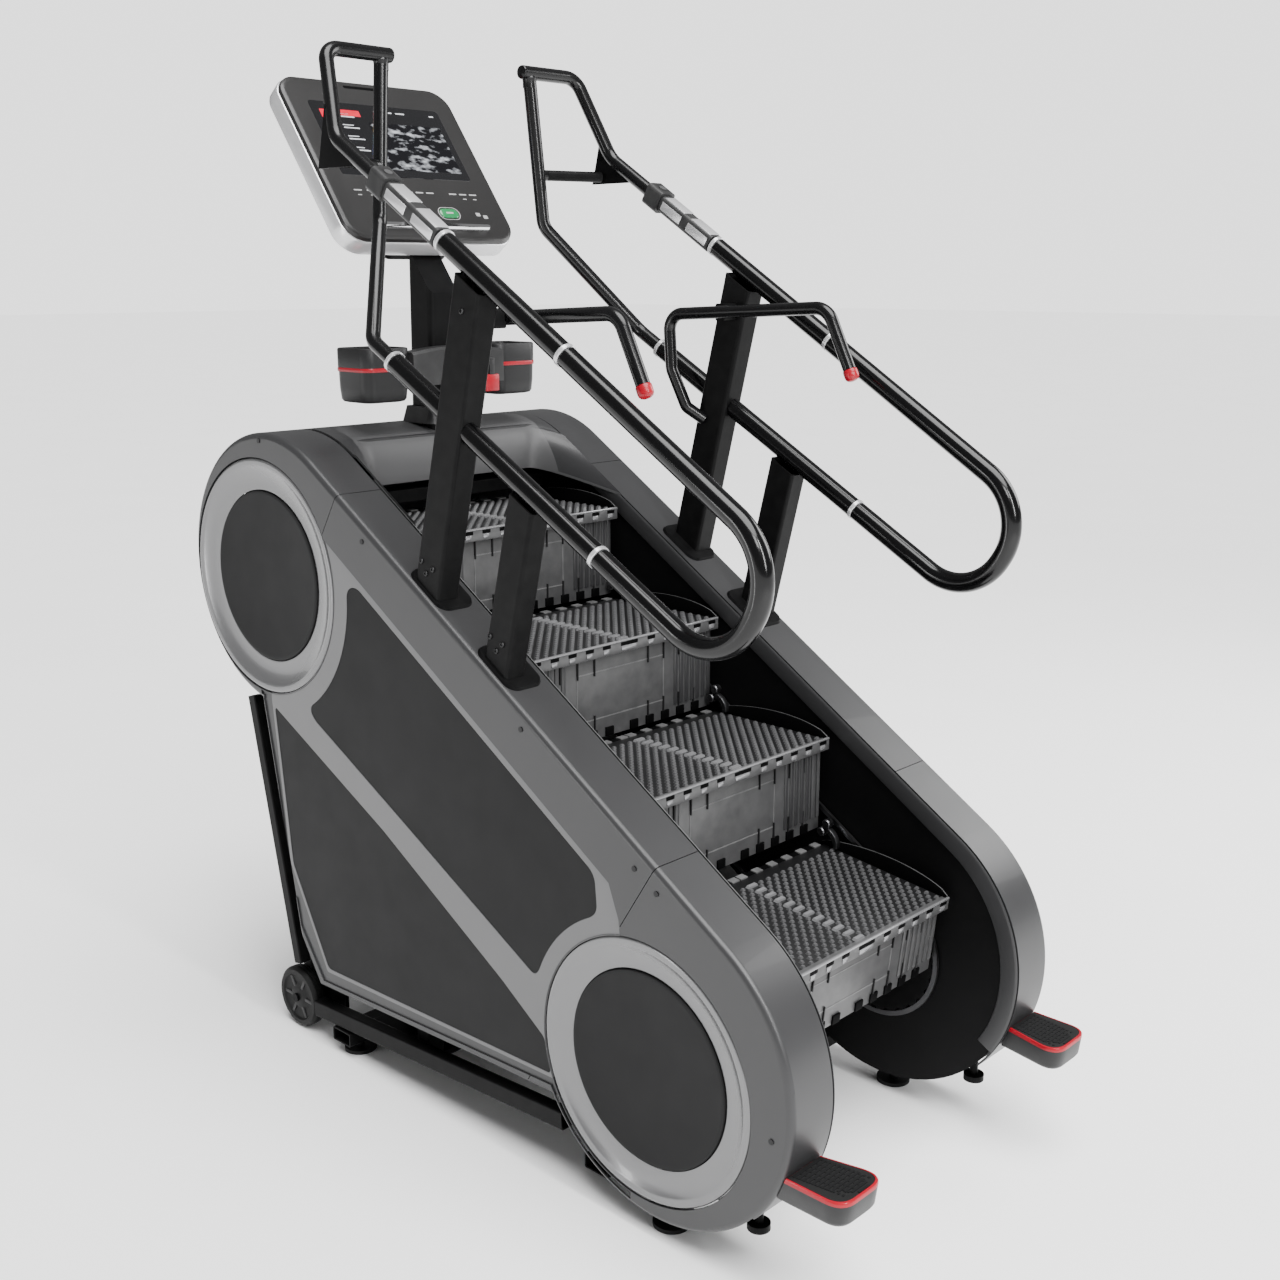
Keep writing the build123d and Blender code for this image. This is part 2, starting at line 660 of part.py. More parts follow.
def pod_button_plane():
    """The pod's face that looks up from the rail, at the middle of the pod."""
    middle = Vector(*on_upper(209.5))
    run = Vector(*on_upper(0)) - Vector(*on_upper(1))
    up = Vector(1, 0, 0).cross(run).normalized()
    if up.Z < 0:
        up = up * -1
    return Plane(origin=middle + up * 23, x_dir=(1, 0, 0), z_dir=up)


BUTTON_R = 8.0


def build_horn_braces():
    """A short cross tube between the two legs of each horn, with a gusset at the bend."""
    cross = tube([(228, 413, 1826), (350.5, 374, 1826)], None, 11, 8.5)
    bend = [(322, 421, 2030), (RAIL_X, 349, upper_rail_z(349)), on_upper(240)]
    with BuildPart() as gusset:
        with BuildSketch(Plane.YZ.offset(RAIL_X - 3)):
            with BuildLine():
                Polyline((376, 1925), (392, 1858), (404, 1812), (296, 1812), (330, 1846), (356, 1890),
                         close=True)
            make_face()
        extrude(amount=6)
        add(tube(bend, [60], TUBE_R + 0.3), mode=Mode.SUBTRACT)
    save_group([side for part in (cross, gusset.part) for side in both(part)], "horn_braces")


def build_posts():
    """Two leaning rectangular posts a side, cut to meet the underside of their rails."""
    posts = []
    rails = ((upper_rail_z, 0.618), (lower_rail_z, 0.565))
    for (foot, wide, deep), (rail_z, slope) in zip(POSTS, rails):
        with BuildPart() as post:
            with BuildSketch(post_plane(foot)):
                RectangleRounded(wide, deep, 7)
                RectangleRounded(wide - 8, deep - 8, 4, mode=Mode.SUBTRACT)
            extrude(amount=700)
            drop = FOAM_R + 0.4
            cut_at = Vector(0, 0, rail_z(0)) - Vector(0, -slope, 1).normalized() * drop
            split(bisect_by=Plane(origin=cut_at, z_dir=(0, -slope, 1)), keep=Keep.BOTTOM)
            if rail_z is upper_rail_z:
                run = Vector(*on_lower(1)) - Vector(*on_lower(0))
                with BuildSketch(Plane(origin=on_lower(-200), z_dir=run)):
                    Circle(FOAM_R + 0.2)
                extrude(amount=500, mode=Mode.SUBTRACT)
        posts.append(post.part)
    save_group([side for post in posts for side in both(post)], "rail_posts")


def build_post_boots():
    """Moulded surrounds that close the covers around the feet of the posts."""
    boots = []
    for foot, wide, deep in POSTS:
        foot_y = foot[0] - 5
        top_z = (TOP_LINE - foot_y * NORMAL[0]) / NORMAL[1]
        on_cover = Plane(origin=(POST_X - 12, foot_y, top_z), x_dir=(1, 0, 0), z_dir=(0, *NORMAL))
        with BuildPart() as boot:
            with BuildSketch(on_cover.offset(0.2)):
                RectangleRounded(84, 118, 24)
            extrude(amount=5, taper=30)
            with BuildSketch(post_plane(foot, 80)):
                RectangleRounded(wide + 0.8, deep + 0.8, 7)
            extrude(amount=300, mode=Mode.SUBTRACT)
        boots.append(boot.part)
    save_group([side for boot in boots for side in both(boot)], "post_boots")


def build_curved_grips():
    """The forward-reaching hand grips, each with a rounded end cap."""
    corners = [(345, 38, 1312), (300, 74, 1352), (282, 100, 1430), (282, 108, 1541),
               (282, -297, 1560), (282, -353, 1446)]
    with BuildPart() as grip:
        add(tube(corners, [20, 40, 34, 42], 12.5, 10))
        with Locations((POST_X - POST_WIDE / 2 - 0.3 + 50, 50, 1325)):
            Box(100, 100, 100, mode=Mode.SUBTRACT)
    save_group(both(grip.part), "curved_grips")
    lean = Vector(0, -56, -114).normalized()
    tip = Vector(282, -353, 1446)
    with BuildPart() as cap:
        with BuildSketch(Plane(origin=tip + lean * 0.2, z_dir=lean)):
            Circle(14)
        extrude(amount=22)
        fillet(cap.edges().sort_by(Axis.Z)[0], 10)
    save_group(both(cap.part), "grip_caps")
    with BuildPart() as clamp:
        with BuildSketch(Plane.YZ.offset(292)):
            with Locations((-22, 1547)):
                RectangleRounded(24, 34, 4)
        extrude(amount=POST_X - POST_WIDE / 2 - 292.3)
        with BuildSketch(Plane.XZ.offset(60)):
            with Locations((282, 1548)):
                Circle(13.6)
        extrude(amount=-80, mode=Mode.SUBTRACT)
    save_group(both(clamp.part), "grip_clamps")


# ---- foot pads, mast, console and tray ----

def pad_outline(inset=0.0):
    """A foot pad in plan: straight at the cover, rounded at its front."""
    with BuildSketch() as pad:
        with BuildLine():
            Polyline((388 - inset, -740), (388 - inset, PAD_FRONT + inset),
                     (268 + inset, PAD_FRONT + inset), (296 + 0.8 * inset, -740), close=True)
        make_face()
        fillet(pad.vertices().group_by(Axis.Y)[0], 38 - inset)
    return pad.sketch


def build_foot_pads():
    with BuildPart() as pad:
        with BuildSketch(Plane.XY.offset(PAD_TOP - 50)):
            add(pad_outline())
        extrude(amount=44)
        with BuildSketch(Plane.YZ.offset(200)):
            with Locations(LOW_ARC):
                Circle(LOW_ARC_R + 0.5)
        extrude(amount=300, mode=Mode.SUBTRACT)
    save_group(both(pad.part), "foot_pads")
    with BuildPart() as tread:
        with BuildSketch(Plane.XY.offset(PAD_TOP - 5.8)):
            add(pad_outline(6))
        extrude(amount=5.8)
        with BuildSketch(Plane.YZ.offset(200)):
            with Locations(LOW_ARC):
                Circle(LOW_ARC_R + 3)
        extrude(amount=300, mode=Mode.SUBTRACT)
    save_group(both(tread.part), "pad_treads")
    with BuildPart() as trim:
        with BuildSketch(Plane.XY.offset(PAD_TOP - 5.8)):
            add(pad_outline())
            add(pad_outline(5.8), mode=Mode.SUBTRACT)
        extrude(amount=4)
        with BuildSketch(Plane.YZ.offset(200)):
            with Locations(LOW_ARC):
                Circle(LOW_ARC_R + 3)
        extrude(amount=300, mode=Mode.SUBTRACT)
    save_group([side for solid in trim.part.solids() for side in both(solid)], "pad_trims")


CONSOLE_LOW, CONSOLE_HIGH = (520.0, 1672.0), (768.0, 2006.0)   # middle of the housing, side view
CONSOLE_X, CONSOLE_THICK = 225.0, 56.0
CONSOLE_TILT = math.atan2(CONSOLE_HIGH[0] - CONSOLE_LOW[0], CONSOLE_HIGH[1] - CONSOLE_LOW[1])
CONSOLE_LONG = math.dist(CONSOLE_LOW, CONSOLE_HIGH)


def console_plane(height, proud):
    """A plane parallel to the console's face: height up the face, proud towards the user."""
    along = (math.sin(CONSOLE_TILT), math.cos(CONSOLE_TILT))
    out = (-math.cos(CONSOLE_TILT), math.sin(CONSOLE_TILT))
    origin = (0, CONSOLE_LOW[0] + height * along[0] + proud * out[0],
              CONSOLE_LOW[1] + height * along[1] + proud * out[1])
    return Plane(origin=origin, x_dir=(1, 0, 0), z_dir=(0, *out))


def build_console():
    middle = CONSOLE_LONG / 2
    wide, tall = 2 * CONSOLE_X, CONSOLE_LONG
    with BuildPart() as housing:
        with BuildSketch(console_plane(middle, -CONSOLE_THICK / 2)):
            RectangleRounded(wide - 6, tall - 6, 48)
        extrude(amount=CONSOLE_THICK)
        fillet(housing.faces().sort_by(Axis.Y)[-1].outer_wire().edges(), 20)
        with BuildSketch(console_plane(middle + 48, CONSOLE_THICK / 2)):
            RectangleRounded(SCREEN_WIDE + 1, SCREEN_TALL + 1, 8)
        extrude(amount=-5, mode=Mode.SUBTRACT)
        with BuildSketch(console_plane(BUTTON_HEIGHT, CONSOLE_THICK / 2)):
            with Locations((START_BUTTON_X, 0)):
                SlotOverall(50.8, 24.8)
        extrude(amount=-6, mode=Mode.SUBTRACT)
    save(housing.part, "console_housing")
    with BuildPart() as screen:
        with BuildSketch(console_plane(middle + 48, CONSOLE_THICK / 2 - 4.8)):
            RectangleRounded(SCREEN_WIDE, SCREEN_TALL, 8)
        extrude(amount=4)
    save(screen.part, "screen")
    with BuildPart() as rim:
        with BuildSketch(console_plane(middle, -12)):
            RectangleRounded(wide, tall, 51)
            RectangleRounded(wide - 5.6, tall - 5.6, 48.2, mode=Mode.SUBTRACT)
        extrude(amount=30)
    save(rim.part, "console_rim")
    with BuildPart() as button:
        with BuildSketch(console_plane(BUTTON_HEIGHT, CONSOLE_THICK / 2 - 2.8)):
            with Locations((START_BUTTON_X, 0)):
                SlotOverall(50, 24)
        extrude(amount=4)
    save(button.part, "start_button")


SCREEN_WIDE, SCREEN_TALL = 340.0, 190.0
START_BUTTON_X, BUTTON_HEIGHT = 62.0, 72.0


def build_mast():
    """The square mast from the cross member under the hood to the back of the console."""
    foot, head = Vector(0, MAST_Y + 3, 1181), Vector(0, MAST_Y - 5, 1700)
    with BuildPart() as mast:
        with BuildSketch(Plane(origin=foot, x_dir=(1, 0, 0), z_dir=head - foot)):
            RectangleRounded(MAST_SIZE, MAST_SIZE, 12)
        extrude(amount=(head - foot).length)
        with BuildSketch(Plane(origin=foot, x_dir=(1, 0, 0), z_dir=head - foot)):
            RectangleRounded(MAST_SIZE - 8, MAST_SIZE - 8, 8)
        extrude(amount=330, mode=Mode.SUBTRACT)
        with BuildSketch(console_plane(CONSOLE_LONG / 2, -CONSOLE_THICK / 2 - 0.3)):
            Rectangle(900, 1400)
        extrude(amount=400, mode=Mode.SUBTRACT)
        with BuildSketch(console_plane(96, -CONSOLE_THICK / 2 - 0.3)):
            RectangleRounded(170, 150, 16)
        extrude(amount=-34)
    save(mast.part, "mast")
    with BuildPart() as collar:
        with BuildSketch(Plane.XY.offset(1313.5)):
            with Locations((0, MAST_Y)):
                RectangleRounded(112, 112, 20)
        extrude(amount=34, taper=16)
        with BuildSketch(Plane(origin=foot, x_dir=(1, 0, 0), z_dir=head - foot)):
            RectangleRounded(MAST_SIZE + 0.6, MAST_SIZE + 0.6, 12)
        extrude(amount=400, mode=Mode.SUBTRACT)
    save(collar.part, "mast_collar")


TRAY_LOW, TRAY_HIGH = 1366.0, 1476.0
TRAY_BAND = 1428.0
PADDLE_X, PADDLE_Z = 78.0, 1442.0


def bin_outline(inset=0.0):
    """Both bins in plan."""
    with BuildSketch() as plan:
        with Locations((-174, 512), (174, 512)):
            RectangleRounded(120 - 2 * inset, 112 - 2 * inset, 26 - inset)
    return plan.sketch


def build_tray():
    """Two open bins beside the mast, joined by a bridge across its front."""
    with BuildPart() as tray:
        with BuildSketch(Plane.XY.offset(TRAY_LOW)):
            add(bin_outline())
        extrude(amount=TRAY_HIGH - TRAY_LOW)
        with BuildSketch(Plane.XY.offset(TRAY_HIGH - 46)):
            with Locations((0, 466)):
                RectangleRounded(250, 44, 8)
        extrude(amount=38)
        with BuildSketch(Plane.XY.offset(TRAY_LOW + 5)):
            add(bin_outline(5))
        extrude(amount=TRAY_HIGH - TRAY_LOW, mode=Mode.SUBTRACT)
        with BuildSketch(Plane.XY.offset(TRAY_BAND)):
            add(bin_outline())
            add(bin_outline(1.5), mode=Mode.SUBTRACT)
        extrude(amount=9, mode=Mode.SUBTRACT)
        with Locations((PADDLE_X, 452, PADDLE_Z)):
            Box(12.6, 20, 12.6, mode=Mode.SUBTRACT)
    save(tray.part, "tray")
    with BuildPart() as band:
        with BuildSketch(Plane.XY.offset(TRAY_BAND + 0.3)):
            add(bin_outline())
            add(bin_outline(1.2), mode=Mode.SUBTRACT)
            with Locations((0, 466)):
                Rectangle(252, 60, mode=Mode.SUBTRACT)
        extrude(amount=8.4)
    save(band.part, "tray_bands")
    with BuildPart() as paddle:
        with Locations((PADDLE_X, 434, PADDLE_Z - 29)):
            Box(38, 8, 70)
        fillet(paddle.edges().filter_by(Axis.Y), 6)
        with Locations((PADDLE_X, 442, PADDLE_Z)):
            Box(12, 16, 12)
    save(paddle.part, "stop_paddle")


def build_fasteners():
    """Cover screws on both sides."""
    heads = []
    for y, z in ((605, 1296), (272, 1130), (-167, 852), (-440, 670), (-490, 640), (-738, 295)):
        with BuildPart() as head:
            with BuildSketch(Plane.YZ.offset(OUTER_X + 0.1)):
                with Locations((y, z)):
                    Circle(5)
            extrude(amount=1.5)
        heads.append(head.part)
    save_group([side for head in heads for side in both(head)], "cover_screws")


build_covers()
build_side_panels()
build_discs()
build_inner_walls()
build_hood()
build_frame()
build_feet()
build_wheels()
build_steps()
build_return_steps()
build_drive()
build_rails()
build_grip_sensors()
build_horn_braces()
build_posts()
build_post_boots()
build_curved_grips()
build_foot_pads()
build_console()
build_mast()
build_tray()
build_fasteners()
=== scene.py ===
import math
from functools import partial

import bmesh
import bpy
from mathutils import Matrix, Vector
from mathutils.geometry import tessellate_polygon


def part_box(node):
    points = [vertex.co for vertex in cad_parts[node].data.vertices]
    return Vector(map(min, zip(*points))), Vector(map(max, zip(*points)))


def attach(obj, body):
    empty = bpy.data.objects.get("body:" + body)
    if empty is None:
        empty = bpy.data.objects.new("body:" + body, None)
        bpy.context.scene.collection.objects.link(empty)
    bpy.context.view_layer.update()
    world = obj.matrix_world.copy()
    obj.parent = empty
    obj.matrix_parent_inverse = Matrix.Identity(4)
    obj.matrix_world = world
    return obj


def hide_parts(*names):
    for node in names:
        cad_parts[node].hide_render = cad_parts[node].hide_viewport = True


# The looks of a revolving stair climber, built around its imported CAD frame.
# Metres, in the CAD's own frame: X across, Y the way the user climbs, Z up, origin on the floor.

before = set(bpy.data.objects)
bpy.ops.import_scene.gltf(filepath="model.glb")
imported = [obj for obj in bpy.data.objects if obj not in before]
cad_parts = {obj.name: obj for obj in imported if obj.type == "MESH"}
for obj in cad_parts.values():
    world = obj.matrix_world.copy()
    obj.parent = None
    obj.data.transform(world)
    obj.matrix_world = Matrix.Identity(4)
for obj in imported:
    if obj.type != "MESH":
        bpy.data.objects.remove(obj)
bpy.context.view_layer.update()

# ---- sizes, most of them read from the frame ----
STEP_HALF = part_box("step_1")[1].x
NOSE_1 = Vector((0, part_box("step_1")[0].y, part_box("step_1")[1].z))
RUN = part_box("step_2")[0].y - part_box("step_1")[0].y
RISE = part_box("step_2")[1].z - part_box("step_1")[1].z
NOSE_0, NOSE_0_TILT = Vector((0, -0.634, 0.472)), math.radians(6.5)
OUTER_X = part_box("cover_middle_right")[1].x
RINGS = ((-0.456, 0.306, 0.2385), (0.62, 1.015, 0.2445))
DISC_R = 0.178
HOOD_ARC = (0.59, 1.028, 0.284)
LOW_ARC = (-0.48, 0.335, 0.298)
COVER_SLOPE, COVER_TOP_AT = 0.633, (0.442, 1.278)
SIDES = {1: "right", -1: "left"}
SHARP_ANGLE = math.radians(38)


# ---- materials ----

def new_material(name):
    """A material with its node tree, its shader and its nodes and links."""
    material = bpy.data.materials.new(name)
    material.use_nodes = True
    tree = material.node_tree
    return material, tree.nodes, tree.links, tree.nodes["Principled BSDF"]


def noise(nodes, links, scale, detail=4.0, stretch=(1, 1, 1)):
    """Noise in the object's own coordinates, which are the frame's metres."""
    coordinates = nodes.new("ShaderNodeTexCoord")
    mapping = nodes.new("ShaderNodeMapping")
    mapping.inputs["Scale"].default_value = stretch
    texture = nodes.new("ShaderNodeTexNoise")
    texture.inputs["Scale"].default_value = scale
    texture.inputs["Detail"].default_value = detail
    links.new(coordinates.outputs["Object"], mapping.inputs["Vector"])
    links.new(mapping.outputs["Vector"], texture.inputs["Vector"])
    return texture.outputs["Fac"]


def ramp(nodes, links, source, low, high, start=0.3, end=0.7):
    """A colour that runs from low to high as the source rises."""
    blend = nodes.new("ShaderNodeValToRGB")
    blend.color_ramp.elements[0].position = start
    blend.color_ramp.elements[0].color = (*low, 1)
    blend.color_ramp.elements[1].position = end
    blend.color_ramp.elements[1].color = (*high, 1)
    links.new(source, blend.inputs["Fac"])
    return blend.outputs["Color"]


def spread(nodes, links, source, low, high):
    """A number that runs from low to high as the source rises from 0.3 to 0.7."""
    remap = nodes.new("ShaderNodeMapRange")
    remap.inputs["From Min"].default_value = 0.3
    remap.inputs["From Max"].default_value = 0.7
    remap.inputs["To Min"].default_value = low
    remap.inputs["To Max"].default_value = high
    links.new(source, remap.inputs["Value"])
    return remap.outputs["Result"]


def bump(nodes, links, shader, source, strength, distance):
    node = nodes.new("ShaderNodeBump")
    node.inputs["Strength"].default_value = strength
    node.inputs["Distance"].default_value = distance
    links.new(source, node.inputs["Height"])
    links.new(node.outputs["Normal"], shader.inputs["Normal"])


def surface(name, colour, roughness, grain, vary=0.12, metallic=0.0, coat=0.0, stretch=(1, 1, 1),
            worn=None, specular=0.5):
    """A moulded or painted surface: mottled colour, uneven gloss, fine grain and worn edges.
    grain is (scale, strength, height in metres)."""
    material, nodes, links, shader = new_material(name)
    broad = noise(nodes, links, 6.0, 5.0)
    low = [c * (1 - vary) for c in colour]
    high = [min(1.0, c * (1 + vary)) for c in colour]
    base = ramp(nodes, links, broad, low, high)
    if worn:
        geometry = nodes.new("ShaderNodeNewGeometry")
        edge = nodes.new("ShaderNodeMapRange")
        edge.inputs["From Min"].default_value = 0.52
        edge.inputs["From Max"].default_value = 0.66
        links.new(geometry.outputs["Pointiness"], edge.inputs["Value"])
        patchy = nodes.new("ShaderNodeMath")
        patchy.operation = "MULTIPLY"
        links.new(edge.outputs["Result"], patchy.inputs[0])
        links.new(noise(nodes, links, 40.0, 6.0), patchy.inputs[1])
        mix = nodes.new("ShaderNodeMix")
        mix.data_type = "RGBA"
        mix.inputs["B"].default_value = (*worn, 1)
        links.new(patchy.outputs["Value"], mix.inputs["Factor"])
        links.new(base, mix.inputs["A"])
        base = mix.outputs["Result"]
    links.new(base, shader.inputs["Base Color"])
    smear = noise(nodes, links, 14.0, 6.0, stretch)
    links.new(spread(nodes, links, smear, roughness * 0.95, roughness * 1.05), shader.inputs["Roughness"])
    shader.inputs["Metallic"].default_value = metallic
    shader.inputs["Coat Weight"].default_value = coat
    shader.inputs["Specular IOR Level"].default_value = specular
    scale, strength, height = grain
    bump(nodes, links, shader, noise(nodes, links, scale, 3.0, stretch), strength, height)
    return material


def grey(value, blue):
    """A grey with its own blue."""
    return value, value, blue


COVER = surface("cover_plastic", grey(0.0245, 0.0255), 0.38, (900, 0.06, 0.0002), 0.025, coat=0.06,
            specular=0.4)
COVER_LIGHT = surface("hood_plastic", grey(0.052, 0.0533), 0.5, (900, 0.06, 0.0002), 0.025, coat=0.02)
PANEL = surface("side_panel_plastic", grey(0.0058, 0.0061), 0.55, (1300, 0.2, 0.0003), 0.03, specular=0.16)
ACCENT = surface("accent_plastic", grey(0.092, 0.094), 0.36, (900, 0.05, 0.0002), 0.025, coat=0.08)
RING = surface("ring_plastic", grey(0.15, 0.1525), 0.26, (60, 0.01, 0.0001), 0.02, metallic=0.55, coat=0.3)
POWDER = surface("powder_coat", grey(0.0019, 0.0021), 0.42, (1500, 0.2, 0.0002), 0.06,
            worn=grey(0.01, 0.01), specular=0.07)
TUBE = surface("tube_paint", grey(0.0035, 0.0038), 0.24, (90, 0.02, 0.0001), 0.12, coat=0.12, specular=0.3)
FOAM = surface("grip_foam", grey(0.0018, 0.002), 0.17, (60, 0.015, 0.0001), 0.15, coat=0.1, specular=0.3)
SILVER = surface("brushed_aluminium", grey(0.62, 0.63), 0.26, (120, 0.01, 0.0001), 0.03, metallic=0.55,
            stretch=(1, 1, 4))
INNER = surface("inner_plastic", grey(0.0022, 0.0024), 0.55, (500, 0.2, 0.0004), 0.2, specular=0.12)
DARK = surface("dark_plastic", grey(0.0085, 0.009), 0.42, (1100, 0.22, 0.0004), 0.08,
            worn=grey(0.05, 0.05), specular=0.3)
RED = surface("red_plastic", (0.3, 0.001, 0.011), 0.32, (300, 0.02, 0.0001), 0.04, coat=0.08, specular=0.35)
RUBBER = surface("rubber", grey(0.0049, 0.0049), 0.62, (600, 0.4, 0.0005), 0.2, specular=0.25)
STEP = surface("step_plastic", grey(0.0312, 0.03224), 0.34, (800, 0.12, 0.0003), 0.12,
            worn=grey(0.18, 0.18), specular=0.5)
STEP_BRIGHT = surface("step_nose", grey(0.248, 0.2542), 0.24, (600, 0.12, 0.0003), 0.1, metallic=0.5)
# Near-black: the own black of the flanges, side walls and console strip, and painted shade where it fills the
# riser notches, nose slots and gaps at the tread's back.
STEP_BLACK_AND_SHADE = surface("step_black_and_painted_shade", grey(0.0012, 0.0013), 0.6, (500, 0.2, 0.0003), 0.2, specular=0.05)
GROOVE_SHADE = surface("step_groove_painted_shade", grey(0.012, 0.0125), 0.5, (500, 0.1, 0.0002), 0.1, specular=0.2)
# The tread's field is the step plastic darkened as painted shade between the studs; the studs are the step
# plastic lightened as a painted highlight.
TREAD_SHADED = surface("tread_field_painted_shade", grey(0.0048, 0.0051), 0.42, (800, 0.2, 0.0003), 0.15, specular=0.4)
STUD_LIT = surface("step_stud_painted_highlight", grey(0.0713, 0.07316), 0.28, (700, 0.12, 0.0002), 0.15, specular=0.5)
STEEL = surface("oiled_steel", grey(0.168, 0.174), 0.3, (350, 0.2, 0.0003), 0.15, metallic=1.0)
SCREW = surface("black_oxide", grey(0.006, 0.0065), 0.35, (900, 0.2, 0.0002), 0.2, metallic=0.5)
GREEN = surface("green_button", (0.006, 0.18, 0.054), 0.28, (700, 0.06, 0.0002), 0.06, coat=0.5)
LABEL = surface("label_print", grey(0.31, 0.31), 0.5, (900, 0.05, 0.0001), 0.05)
CHROME = surface("chrome", grey(0.774, 0.783), 0.07, (300, 0.03, 0.0002), 0.02, metallic=1.0)
FACE = surface("console_face", (0.014, 0.0135, 0.0135), 0.36, (1400, 0.2, 0.0003), 0.06, coat=0.1,
            specular=0.35)
GLASS = surface("screen_glass", grey(0.004, 0.005), 0.08, (200, 0.01, 0.0001), 0.2, coat=0.8)


def lit(name, colour, strength):
    """A tile of the display: coloured, glowing a little, uneven like a backlight."""
    material, nodes, links, shader = new_material(name)
    low = [c * 0.75 for c in colour]
    glow = ramp(nodes, links, noise(nodes, links, 60.0), low, colour)
    links.new(glow, shader.inputs["Base Color"])
    links.new(glow, shader.inputs["Emission Color"])
    shader.inputs["Emission Strength"].default_value = strength
    shader.inputs["Roughness"].default_value = 0.2
    return material


def picture():
    """An abstract grey picture for the display's main window."""
    material, nodes, links, shader = new_material("display_picture")
    clouds = noise(nodes, links, 38.0, 8.0, (1, 2, 2))
    tone = ramp(nodes, links, clouds, (0.002, 0.002, 0.003), (0.3, 0.31, 0.33), 0.5, 0.72)
    links.new(tone, shader.inputs["Base Color"])
    links.new(tone, shader.inputs["Emission Color"])
    shader.inputs["Emission Strength"].default_value = 0.5
    shader.inputs["Roughness"].default_value = 0.15
    return material


NODE_MATERIALS = {
    COVER: "cover_ hood rear_panel", COVER_LIGHT: "hood_inner_panel pod_button", ACCENT: "accent_trims",
    PANEL: "side_panels disc_inserts", RING: "disc_rings", INNER: "inner_walls", SCREW: "cover_screws",
    POWDER: "base_frame brake_unit mast rail_posts horn_braces grip_clamps post_boots lower_shaft",
    TUBE: "rail_left rail_right curved_grips", FOAM: "rail_foam", SILVER: "rail_rings console_rim",
    DARK: "mast_collar grip_sensors rail_pods console_housing tray foot_pads", GREEN: "start_button",
    RED: "grip_caps pad_trims tray_bands stop_paddle", GLASS: "screen", STEP: "step_ return_steps",
    RUBBER: "pad_treads transport_wheel foot_ drive_belt", STEEL: "upper_shaft brake_rotor drive_chains",
}


def paint_nodes():
    """Give every CAD node the material whose name matches it for longest."""
    materials = {key: material for material, keys in NODE_MATERIALS.items() for key in keys.split()}
    for name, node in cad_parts.items():
        key = max((key for key in materials if name.startswith(key)), key=len)
        node.data.materials.clear()
        node.data.materials.append(materials[key])


paint_nodes()


# ---- mesh helpers ----

HERE = Matrix.Identity(4)


def placed(name, data):
    """A new object in the scene."""
    made = bpy.data.objects.new(name, data)
    bpy.context.scene.collection.objects.link(made)
    return made


def piece(name, bm, materials, slot, *replaced, body="frame"):
    """Turn a bmesh into a finished piece that rides on a body."""
    bmesh.ops.recalc_face_normals(bm, faces=bm.faces)
    mesh = bpy.data.meshes.new(name)
    bm.to_mesh(mesh)
    bm.free()
    obj = placed(name, mesh)
    for material in materials:
        mesh.materials.append(material)
    for polygon in mesh.polygons:
        polygon.use_smooth = True
    mesh.set_sharp_from_angle(angle=SHARP_ANGLE)
    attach(obj, body)
    if replaced:
        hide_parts(*replaced)


def skin(bm, rings, index=0, caps=(True, True), closed=False):
    """Join rings of vertices one to the next, and cap the ends or join the last to the first."""
    faces = []
    for near, far in zip(rings, rings[1:] + rings[:1] if closed else rings[1:]):
        for here, vertex in enumerate(near):
            after = (here + 1) % len(near)
            faces.append(bm.faces.new((vertex, near[after], far[after], far[here])))
    if caps[0]:
        faces.append(bm.faces.new(rings[0][::-1]))
    if caps[1]:
        faces.append(bm.faces.new(rings[-1]))
    for face in faces:
        face.material_index = index
    return faces


def block(bm, low, high, place=HERE, bevel=0.0, index=0, top=1.0):
    """A box between two corners, its edges bevelled and its top shrunk if asked."""
    centre, size = (Vector(low) + Vector(high)) / 2, Vector(high) - Vector(low)
    made = bmesh.ops.create_cube(bm, size=1.0)["verts"]
    for vert in made:
        shrink = top if vert.co.z > 0 else 1.0
        vert.co = centre + vert.co * size * Vector((shrink, shrink, 1))
    if bevel:
        edges = {edge for vert in made for edge in vert.link_edges}
        result = bmesh.ops.bevel(bm, geom=list(edges), offset=bevel, segments=2, affect="EDGES", profile=0.5)
        made = {vert for face in result["faces"] for vert in face.verts} | {
            vert for vert in made if vert.is_valid}
    for face in {face for vert in made for face in vert.link_faces}:
        face.material_index = index
    for vert in made:
        vert.co = place @ vert.co


def lathe(bm, profile, place, segments=128, index=0, solid=False):
    """Turn a profile of (radius, height) about the local Z axis, into a ring or a solid with two caps."""
    angles = [2 * math.pi * step / segments for step in range(segments)]
    rings = [[bm.verts.new(place @ Vector((radius * math.cos(angle), radius * math.sin(angle), height)))
              for angle in angles] for radius, height in profile]
    skin(bm, rings, index, (solid, solid), not solid)


def solid_lathe(bm, profile, place, segments=48, index=0):
    """Turn a profile that starts and ends on the axis."""
    lathe(bm, profile, place, segments, index, True)


def rounded_outline(half_x, half_y, radius, steps=10, centre=(0, 0)):
    """Points around a rounded rectangle, counter-clockwise from its right side."""
    points = []
    for quarter, (sx, sy) in enumerate(((1, 1), (-1, 1), (-1, -1), (1, -1))):
        for step in range(steps + 1):
            angle = math.pi / 2 * (quarter + step / steps)
            points.append((centre[0] + sx * (half_x - radius) + radius * math.cos(angle),
                        centre[1] + sy * (half_y - radius) + radius * math.sin(angle)))
    return points


def plate(bm, layers, place=HERE, index=0, caps=(True, True)):
    """A stack of outlines, each (points, height), skinned one to the next and capped."""
    skin(bm, [[bm.verts.new(place @ Vector((x, y, height))) for x, y in points] for points, height in layers],
         index, caps)


def along_x(x, y, z, side=1):
    """A placement whose local Z points out of one side of the machine."""
    turn = Matrix(((0, 0, side), (side, 0, 0), (0, 1, 0))).to_4x4()
    return Matrix.Translation((side * x, y, z)) @ turn


# ---- steps ----

